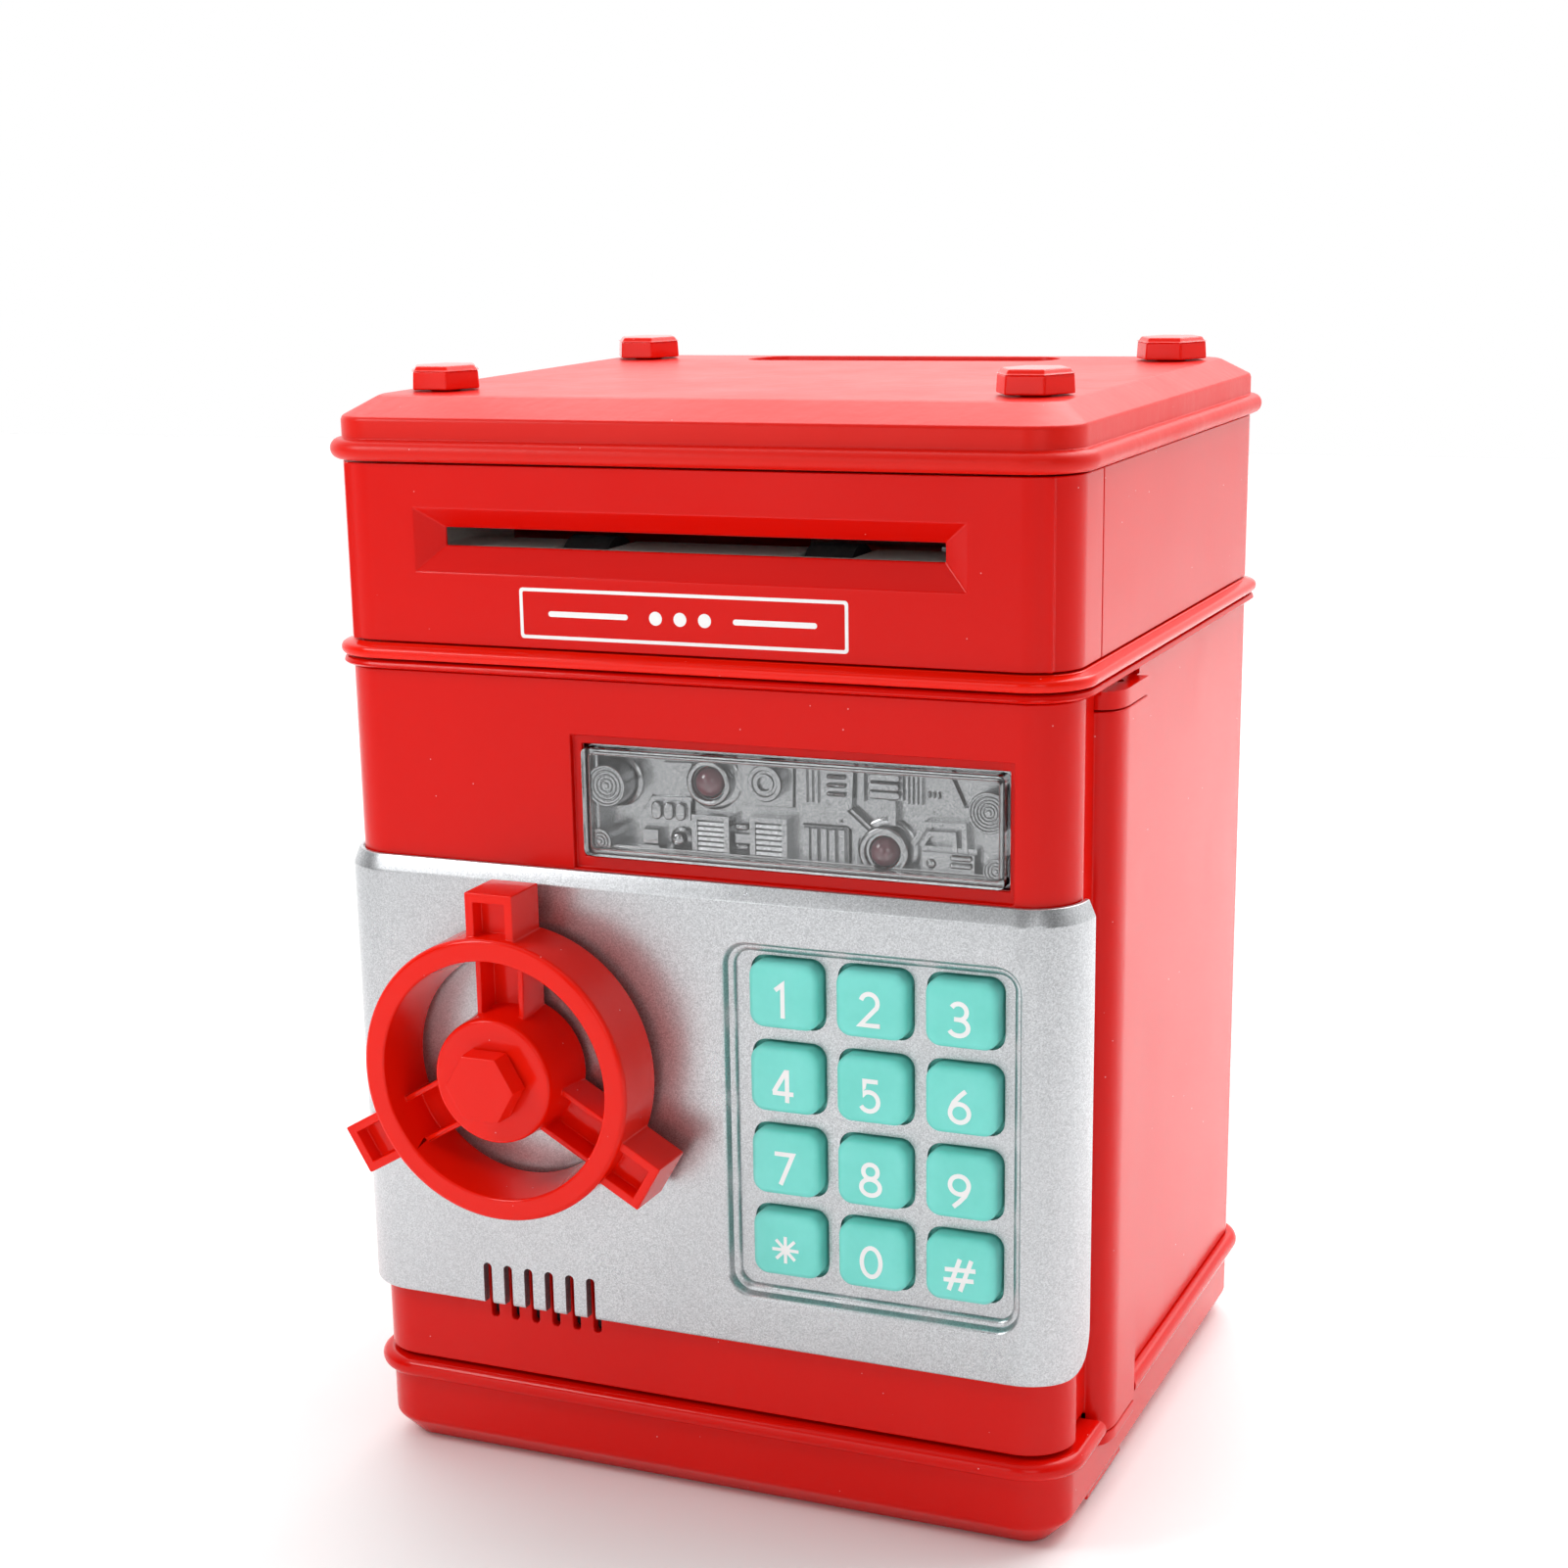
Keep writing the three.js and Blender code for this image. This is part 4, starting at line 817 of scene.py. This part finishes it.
def pipe(path, front, half):
    """Straight runs along a path of (x, z) points."""
    runs = []
    for (ax, az), (bx, bz) in zip(path, path[1:]):
        d = Vector((bx - ax, bz - az)).normalized() * half
        t = Vector((-d.y, d.x))
        quad = [
            (ax - d.x - t.x, az - d.y - t.y),
            (bx + d.x - t.x, bz + d.y - t.y),
            (bx + d.x + t.x, bz + d.y + t.y),
            (ax - d.x + t.x, az - d.y + t.y),
        ]
        runs.append(slab(quad, front, 0.12))
    return runs


def louvres(left, right, bottom, top):
    """A hollow surround with six flat slats in it."""
    surround = block(left, right, bottom, top, -53.9, 0.15)
    cut(surround, box(left + 1.0, right - 1.0, -60, TRAY_FLOOR - 0.8, bottom - 1, top - 0.9))
    parts = [surround]
    count = 6
    pitch = (top - 112.0 - 1.0) / count
    for k in range(count):
        z = 112.05 + k * pitch
        high = z + pitch * 0.6
        outline = [(RELIEF_ROOT, z), (RELIEF_ROOT, high), (-53.6, high), (-53.7, z)]
        parts.append(skin([[(x, y, v) for y, v in outline] for x in (left + 0.9, right - 0.9)]))
    return parts


def build_panel():
    """Silver relief behind the lens: bosses, louvres, ribs and pipes on the floor of a tray."""
    x0, z0, x1, z1 = LENS
    root, floor = RELIEF_ROOT, TRAY_FLOOR
    collar = [(0, root), (4.5, root), (4.3, floor - 0.6), (3.75, floor - 0.9), (3.5, floor - 1.2)]
    collar.append((0, floor - 1.2))
    dial = [(0, root), (3.1, root), (3.0, -54.0), (2.8, -54.3), (2.2, -54.3), (2.0, -54.0), (1.6, -54.0)]
    dial += [(1.5, -54.35), (1.2, -54.35), (1.0, -53.6), (0, -53.6)]
    # A boss gives x, z, radius, front and ridges, and a block left, right, bottom, top, front and draft.
    parts = [
        ring_boss(-14.3, 122.2, 3.55, -56.9, 4),
        ring_boss(-16.0, 112.8, 2.2, -56.4, 3),
        ring_boss(50.2, 122.3, 3.4, -56.9, 5),
        ring_boss(51.2, 113.1, 2.1, -56.4, 3),
        turned(collar, -14.3, 122.2, 64),
        turned(dial, 12.3, 123.8, 64),
        slab([(-7.4, 123.4), (-1.2, 123.6), (-0.6, 126.0), (-6.2, 125.9)], -52.5),
        slab([(-11.8, 115.3), (-1.2, 115.7), (-1.0, 120.3), (-8.6, 120.1)], -52.0),
        slab([(-9.6, 116.1), (-1.3, 116.3), (-1.2, 119.6), (-8.2, 119.4)], -52.4, 0.2),
        slab([(17.7, 117.7), (24.5, 117.8), (26.7, 120.5), (26.9, 127.3), (17.7, 127.3)], -52.5),
        block(17.7, 25.9, 111.0, 117.3, -52.1),
        slab([(34.6, 121.0), (45.2, 121.6), (42.6, 127.3), (34.6, 127.3)], -52.2),
        slab([(7.0, 119.4), (16.4, 119.6), (16.6, 127.3), (6.4, 127.3)], -51.9),
        block(27.6, 28.6, 121.6, 127.3, -52.8, 0.2),
        block(38.2, 47.2, 111.0, 114.8, -53.6),
        block(38.2, 47.2, 114.6, 115.5, -52.8, 0.15),
        block(-9.7, -6.6, 112.3, 114.9, -53.4),
        block(-10.3, -6.0, 111.0, 112.4, -54.2),
        block(6.2, 9.2, 113.4, 115.0, -52.6, 0.2),
    ]
    # A plate turned out of square, with a narrower one on it.
    cx, cz, bend = 27.3, 118.1, math.radians(40)
    along, across = Vector((math.cos(bend), -math.sin(bend))), Vector((math.sin(bend), math.cos(bend)))
    for half_length, half_width, front in ((2.3, 1.35, -52.8), (2.6, 0.7, -53.3)):
        corners = [(u * half_length, v * half_width) for u, v in ((-1, -1), (1, -1), (1, 1), (-1, 1))]
        corners = [(cx + along.x * u + across.x * v, cz + along.y * u + across.y * v) for u, v in corners]
        parts.append(slab(corners, front, 0.2))
    parts += [pill(x, 117.9, 1.75, 2.9, -53.3) for x in (-7.2, -5.1, -3.0)]
    knob = [(0, root), (1.9, root), (1.8, -52.0), (1.25, -52.2), (1.15, -53.2), (0.8, -53.5), (0, -53.5)]
    parts.append(turned(knob, -3.4, 113.3, 40))
    parts += louvres(-0.7, 6.0, 110.9, 118.0) + louvres(9.4, 16.0, 110.9, 118.3)
    parts += [pill(7.7, z, 2.4, 1.1, -53.2) for z in (112.9, 116.2)]
    parts += [block(18.5 + k * 0.95, 19.0 + k * 0.95, 120.9, 126.6, -53.1, 0.08) for k in range(3)]
    parts += [pill(23.9, z, 3.2, 0.75, -53.2) for z in (122.6, 124.0, 125.4)]
    for k in range(5):
        parts.append(block(18.3 + k * 1.5, 19.3 + k * 1.5, 111.0, 117.1, -53.0 - 0.25 * (k % 2), 0.2))
    for z, front in ((123.2, -54.0), (124.6, -54.25), (126.0, -54.0)):
        parts.append(pill(32.2, z, 5.2, 1.35, front))
    parts += [block(29.1, 35.2, 122.2, 127.3, -53.0, 0.2), block(32.6, 33.9, 118.0, 122.4, -53.0, 0.2)]
    parts += [block(35.6 + k * 0.75, 35.95 + k * 0.75, 121.8, 126.8, -53.1, 0.05) for k in range(4)]
    parts += [pill(39.2 + k * 0.8, 123.5, 0.5, 1.1, -52.7) for k in range(3)]
    parts += pipe([(36.8, 115.8), (38.8, 118.9), (45.0, 119.0), (45.2, 114.6)], -53.1, 0.42)
    parts += pipe([(38.2, 115.6), (39.4, 117.5), (43.4, 117.6), (43.6, 114.6)], -53.1, 0.36)
    parts += [pill(44.8, z, 3.6, 0.95, -54.2) for z in (112.9, 114.1)]
    parts += [pill(39.9, 112.9, 1.6, 1.6, -54.0)]
    for (x, z), r in zip(LAMPS.values(), (3.85, 4.2)):
        seat = [(0, root), (r, root), (r, -53.8), (r - 0.25, -54.15), (r - 0.6, -54.25), (r - 0.95, -54.1)]
        seat += [(r - 1.15, -53.5), (0, -53.5)]
        skirt = [(0, root), (r + 0.9, root), (r + 0.9, -51.9), (r + 0.5, -52.2), (0, -52.2)]
        parts += [turned(seat, x, z, 64), turned(skirt, x, z, 64)]
    relief = join(parts[0], *parts[1:])
    common(relief, box(x0 + 1.2, x1 - 1.2, -60, TRAY_BACK, z0 + 1.2, z1 - 1.2))
    panel = box(x0 - 1.8, x1 + 1.8, -54.4, -53.4, z0 - 1.8, z1 + 1.8)
    join(panel, box(x0 + 0.3, x1 - 0.3, -53.8, TRAY_BACK, z0 + 0.3, z1 - 0.3))
    cut(panel, box(x0 + 1.3, x1 - 1.3, -60, TRAY_FLOOR, z0 + 1.3, z1 - 1.3))
    join(panel, relief)
    cut(panel, *[rod("Y", x, z, -60, -49, 2.65) for x, z in LAMPS.values()])
    finish(
        panel,
        "window_relief",
        PANEL_SILVER,
        "door",
        ["window_panel"],
        bevel=0.1,
        segments=1,
        sharp=30,
    )
    angles = [math.radians(a) for a in range(0, 90, 9)]
    dome = [(2.4 * math.cos(a), -53.2 - 2.0 * math.sin(a)) for a in angles]
    for name, (x, z) in LAMPS.items():
        lamp = turned([(0, -49.8), (2.4, -49.8), *dome, (0, -55.2)], x, z, 48)
        finish(lamp, name + "_dome", LAMP, "door", [name], bevel=0)


# ---------------------------------------------------------------- keys
STROKES = {
    "1": [[(-1.05, 1.75), (0.2, 2.75), (0.2, -2.8)]],
    "2": [arc(0, 1.25, 1.4, 1.45, 165, -32, 14) + [(-1.5, -2.42), (1.75, -2.42)]],
    "3": [
        arc(-0.15, 1.32, 1.3, 1.3, 150, -88, 14),
        arc(-0.2, -1.22, 1.6, 1.32, 88, -155, 16),
        [(-0.9, 0.08), (0.1, 0.08)],
    ],
    "4": [[(0.75, -2.8), (0.75, 2.7)], [(0.62, 2.5), (-1.55, -1.15)], [(-1.75, -1.32), (1.85, -1.32)]],
    "5": [[(1.35, 2.42), (-0.9, 2.42), (-0.95, 0.35)] + arc(-0.15, -0.95, 1.55, 1.6, 118, -150, 16)],
    "6": [arc(0, -1.08, 1.55, 1.5, 0, 360, 28), [(1.0, 2.6), (0.0, 1.7), (-0.95, 0.6), (-1.45, -0.5)]],
    "7": [[(-1.6, 2.42), (1.55, 2.42), (-0.65, -2.8)]],
    "8": [arc(0, 1.38, 1.22, 1.2, 0, 360, 24), arc(0, -1.25, 1.58, 1.35, 0, 360, 28)],
    "9": [arc(0, 1.08, 1.55, 1.5, 0, 360, 28), [(-1.0, -2.6), (0.0, -1.7), (0.95, -0.6), (1.45, 0.5)]],
    "0": [arc(0, 0, 1.6, 2.45, 0, 360, 32)],
    "star": [
        [(-2.3 * u, -2.3 * v), (2.3 * u, 2.3 * v)] for u, v in ((1, 0), (0, 1), (0.71, 0.71), (0.71, -0.71))
    ],
    "hash": [
        [(-1.75, -2.7), (0.1, 2.7)],
        [(0.15, -2.7), (2.0, 2.7)],
        [(-2.4, 0.75), (2.7, 1.0)],
        [(-2.6, -1.0), (2.4, -0.75)],
    ],
}


def ribbon(points, width, front, back):
    """A flat stroke of even width with square ends, or a closed loop where the ends meet."""
    closed = (Vector(points[0]) - Vector(points[-1])).length < 1e-6
    if closed:
        points = points[:-1]
    n = len(points)
    left, right = [], []
    for i in range(n):
        p = Vector(points[i])
        before = Vector(points[i - 1]) if closed or i > 0 else None
        after = Vector(points[(i + 1) % n]) if closed or i < n - 1 else None
        d0 = (p - before).normalized() if before is not None else (after - p).normalized()
        d1 = (after - p).normalized() if after is not None else d0
        n0, n1 = Vector((-d0.y, d0.x)), Vector((-d1.y, d1.x))
        m = (n0 + n1).normalized()
        reach = width / 2 / max(0.45, m.dot(n0))
        left.append(p + m * reach)
        right.append(p - m * reach)
    verts = [(q.x, y, q.y) for y in (front, back) for q in left + right]
    faces = []
    m = 2 * n
    for i in range(n if closed else n - 1):
        j = (i + 1) % n
        faces += [(i, j, n + j, n + i), (m + i, m + n + i, m + n + j, m + j)]
        faces += [(i, m + i, m + j, j), (n + i, n + j, m + n + j, m + n + i)]
    if not closed:
        faces += [(0, n, m + n, m), (n - 1, m + n - 1, m + 2 * n - 1, 2 * n - 1)]
    return make(verts, faces)


def key_ring(x, z, inset, y):
    w, h, r = KEY_W / 2 - inset, KEY_H / 2 - inset, max(KEY_R - inset * 0.75, 0.4)
    return standing(rounded(x - w, z - h, x + w, z + h, r, 8), y)


def build_keys():
    for index, name in enumerate(KEY_NAMES):
        x, z = KEY_COLUMNS[index % 3], KEY_ROWS[index // 3]
        foot = ((-1, -54.9), (-1, -55.9), (0, -55.95), (0, KEY_FRONT + 1.4))
        rings = [key_ring(x, z, inset, y) for inset, y in foot]
        for k in range(1, 8):
            a = math.radians(90 * k / 7)
            rings.append(key_ring(x, z, 1.25 * (1 - math.cos(a)), KEY_FRONT + 1.35 - 1.2 * math.sin(a)))
        rings += [key_ring(x, z, 2.2, KEY_FRONT + 0.06), key_ring(x, z, 3.4, KEY_FRONT)]
        cap = skin(rings)
        body = f"key_{name}_body"
        finish(cap, f"key_{name}_cap", TURQUOISE, body, [f"key_{name}"], bevel=0)
        width = 0.55 if name == "star" else 0.74
        strokes = []
        for stroke in STROKES[name]:
            placed = [(x + u, z - 0.6 + v) for u, v in stroke]
            strokes.append(ribbon(placed, width, KEY_FRONT - 0.04, KEY_FRONT + 0.3))
        mark = strokes[0] if len(strokes) == 1 else join(strokes[0], *strokes[1:])
        finish(mark, f"key_{name}_mark", INK, body, bevel=0)


# ---------------------------------------------------------------- hand wheel
def build_wheel():
    front, back = WHEEL_FRONT, WHEEL_BACK
    profile = [(RING_INNER_BACK, back), (RING_OUTER - 0.1, back), (RING_OUTER, back - 0.3)]
    for angle in range(0, 91, 15):
        a = math.radians(angle)
        profile.append((RING_OUTER - 0.9 + 0.9 * math.cos(a), front + 0.9 - 0.9 * math.sin(a)))
    for angle in range(0, 91, 18):
        a = math.radians(angle)
        profile.append((RING_INNER + 0.5 - 0.5 * math.sin(a), front + 0.5 - 0.5 * math.cos(a)))
    ring = turned(profile, WHEEL_X, WHEEL_Z, 128)
    profile = [(0, back), (HUB_R + 0.9, back), (HUB_R + 0.3, back - 4.0), (HUB_R, front + 1.0)]
    profile += [(HUB_R - 0.12, front + 0.35), (HUB_R - 0.5, front), (0, front)]
    hub = turned(profile, WHEEL_X, WHEEL_Z)
    spokes = [radial_box(a, 9, 20, 8.6, -69, back) for a in SPOKES]
    arms = join(spokes[0], *spokes[1:])
    cut(arms, *[radial_box(a, 8, 22, 6.7, -70, -64.6) for a in SPOKES])
    lugs = [radial_box(a, RING_OUTER - 1.2, 31.2, 8.6, -71.6, -62.3) for a in SPOKES]
    lugs = join(lugs[0], *lugs[1:])
    cut(lugs, *[radial_box(a, RING_OUTER - 3, 29.6, 5.6, -73, -68.8) for a in SPOKES])
    join(arms, ring, hub, rod("Y", WHEEL_X, WHEEL_Z, back - 1, -46.3, 3), lugs)
    cut(arms, rod("Y", WHEEL_X, WHEEL_Z, front - 1, front + 6, 2.7))
    finish(arms, "wheel_body", BRIGHT_RED, "wheel", ["hand_wheel"], bevel=0.22, sharp=34)
    nut = rod("Y", WHEEL_X, WHEEL_Z, -77.3, front - GAP, 6.2, 6.4, 6)
    join(nut, rod("Y", WHEEL_X, WHEEL_Z, front - 1, front + 5, 2.3))
    finish(nut, "wheel_nut_head", BRIGHT_RED, "wheel", ["wheel_nut"], bevel=0.2, sharp=30)


# ---------------------------------------------------------------- printed frame over the door
def build_label():
    """A white printed frame with plain bars and dots in it."""
    x, z0, z1, line = 28.1, 145.7, 153.8, 0.55
    front, back = FRONT - 0.03, FRONT + 0.2
    outline = prism("Y", rounded(-x, z0, x, z1, 0.6, 4), front, back)
    inside = rounded(-x + line, z0 + line, x - line, z1 - line, 0.3, 4)
    cut(outline, prism("Y", inside, FRONT - 1, FRONT + 1))
    finish(outline, "label_frame", INK, "case", bevel=0)
    middle, half = (z0 + z1) / 2, 0.45
    marks = []
    for a, b in ((-23, -9), (9, 23)):
        marks.append(prism("Y", rounded(a, middle - half, b, middle + half, 0.44, 4), front, back))
    marks += [rod("Y", u, middle, front, back, 1.1, sides=32) for u in (-4.2, 0, 4.2)]
    for index, mark in enumerate(marks):
        finish(mark, f"label_mark_{index + 1}", INK, "case", bevel=0)


# ---------------------------------------------------------------- studio, in metres
FLOOR = ((-5, -5, 0), (5, -5, 0), (5, 1.7, 0), (-5, 1.7, 0))
# How bright the world is by direction: from this cosine to that one, from this strength to that one.
WORLD_RAMPS = {"Y": (-0.4, 0.4, 0.14, 1.15), "Z": (0.6, 0.85, 0.0, 0.8)}
WHITE_LIGHT = (1, 1, 1, 1)
# Name, place, target, side of the square and watts.
LIGHTS = (
    ("back", (-0.2, 1.3, 1.5), (-0.1, 0.9, 0), 2.4, 28),
    ("floor_glow", (0.27, 0.40, 0.6), (0.25, 0.38, 0), 0.6, 3.4),
    ("pool", (-0.22, -0.24, 0.30), (-0.05, -0.13, 0), 0.12, 0.45),
    ("key_left", (-0.45, -1.15, 0.36), (0, 0, 0.09), 0.5, 1.5),
    ("key_right", (0.55, -1.15, 0.45), (0, 0, 0.09), 0.5, 1.7),
)
CAMERA_PLACE = (178.558, -442.999, 215.265)
YAW, PITCH, ROLL = (math.radians(a) for a in (24.609, 15.544, -1.416))


def build_floor():
    mesh = bpy.data.meshes.new("floor")
    mesh.from_pydata(FLOOR, [], [(0, 1, 2, 3)])
    floor = bpy.data.objects.new("floor", mesh)
    bpy.context.scene.collection.objects.link(floor)
    n = Nodes("floor_paint")
    n.link(n.mix(n.noise(3, 3, 0.5), (0.86, 0.86, 0.86), (0.9, 0.9, 0.9)), n.shader.inputs["Base Color"])
    n.set(Roughness=0.6, Specular_IOR_Level=0.2)
    mesh.materials.append(n.material)


def build_world():
    """Light that is stronger from the back and the top, and a plain white backdrop for the camera."""
    world = bpy.data.worlds.new("studio")
    bpy.context.scene.world = world
    world.use_nodes = True
    tree = world.node_tree
    direction = tree.nodes.new("ShaderNodeTexCoord").outputs["Generated"]
    split = tree.nodes.new("ShaderNodeSeparateXYZ")
    tree.links.new(direction, split.inputs[0])
    brightest = tree.nodes.new("ShaderNodeMath")
    brightest.operation = "MAXIMUM"
    for index, (axis, ramp) in enumerate(WORLD_RAMPS.items()):
        shade = tree.nodes.new("ShaderNodeMapRange")
        for i, v in enumerate(ramp):
            shade.inputs[i + 1].default_value = v
        tree.links.new(split.outputs[axis], shade.inputs[0])
        tree.links.new(shade.outputs[0], brightest.inputs[index])
    light = tree.nodes["Background"]
    backdrop = tree.nodes.new("ShaderNodeBackground")
    for background in (light, backdrop):
        background.inputs["Color"].default_value = WHITE_LIGHT
    tree.links.new(brightest.outputs[0], light.inputs["Strength"])
    choice = tree.nodes.new("ShaderNodeMixShader")
    tree.links.new(tree.nodes.new("ShaderNodeLightPath").outputs["Is Camera Ray"], choice.inputs[0])
    tree.links.new(light.outputs[0], choice.inputs[1])
    tree.links.new(backdrop.outputs[0], choice.inputs[2])
    tree.links.new(choice.outputs[0], tree.nodes["World Output"].inputs["Surface"])


def build_lights():
    for name, place, target, size, power in LIGHTS:
        light = bpy.data.lights.new(name, "AREA")
        light.shape, light.size, light.energy = "SQUARE", size, power
        lamp = bpy.data.objects.new(name, light)
        bpy.context.scene.collection.objects.link(lamp)
        lamp.location = place
        lamp.rotation_mode = "QUATERNION"
        lamp.rotation_quaternion = (Vector(target) - Vector(place)).to_track_quat("-Z", "Y")
    bpy.context.scene.view_settings.view_transform = "Standard"


def build_camera():
    """A camera at the photograph's place and angle, with the shift that its framing needs."""
    level = math.cos(PITCH)
    forward = Vector((-math.sin(YAW) * level, math.cos(YAW) * level, -math.sin(PITCH)))
    right = forward.cross(Vector((0, 0, 1))).normalized()
    up = right.cross(forward)
    c, t = math.cos(ROLL), math.sin(ROLL)
    right, up = c * right + t * up, -t * right + c * up
    data = bpy.data.cameras.new("camera")
    data.lens, data.sensor_width = 62.89, 36
    data.shift_x, data.shift_y = 0.0530, 0.1024
    data.clip_start, data.clip_end = 0.01, 100
    camera = bpy.data.objects.new("camera", data)
    bpy.context.scene.collection.objects.link(camera)
    matrix = Matrix((right, up, -forward)).transposed().to_4x4()
    matrix.translation = Vector(CAMERA_PLACE) * MM
    camera.matrix_world = matrix
    bpy.context.scene.camera = camera


build_camera()
build_floor()
build_world()
build_lights()
dress_cad_nodes()
build_base()
build_case()
build_deck()
build_upper()
build_cap()
build_door()
build_plate()
build_window()
build_panel()
build_keys()
build_wheel()
build_label()
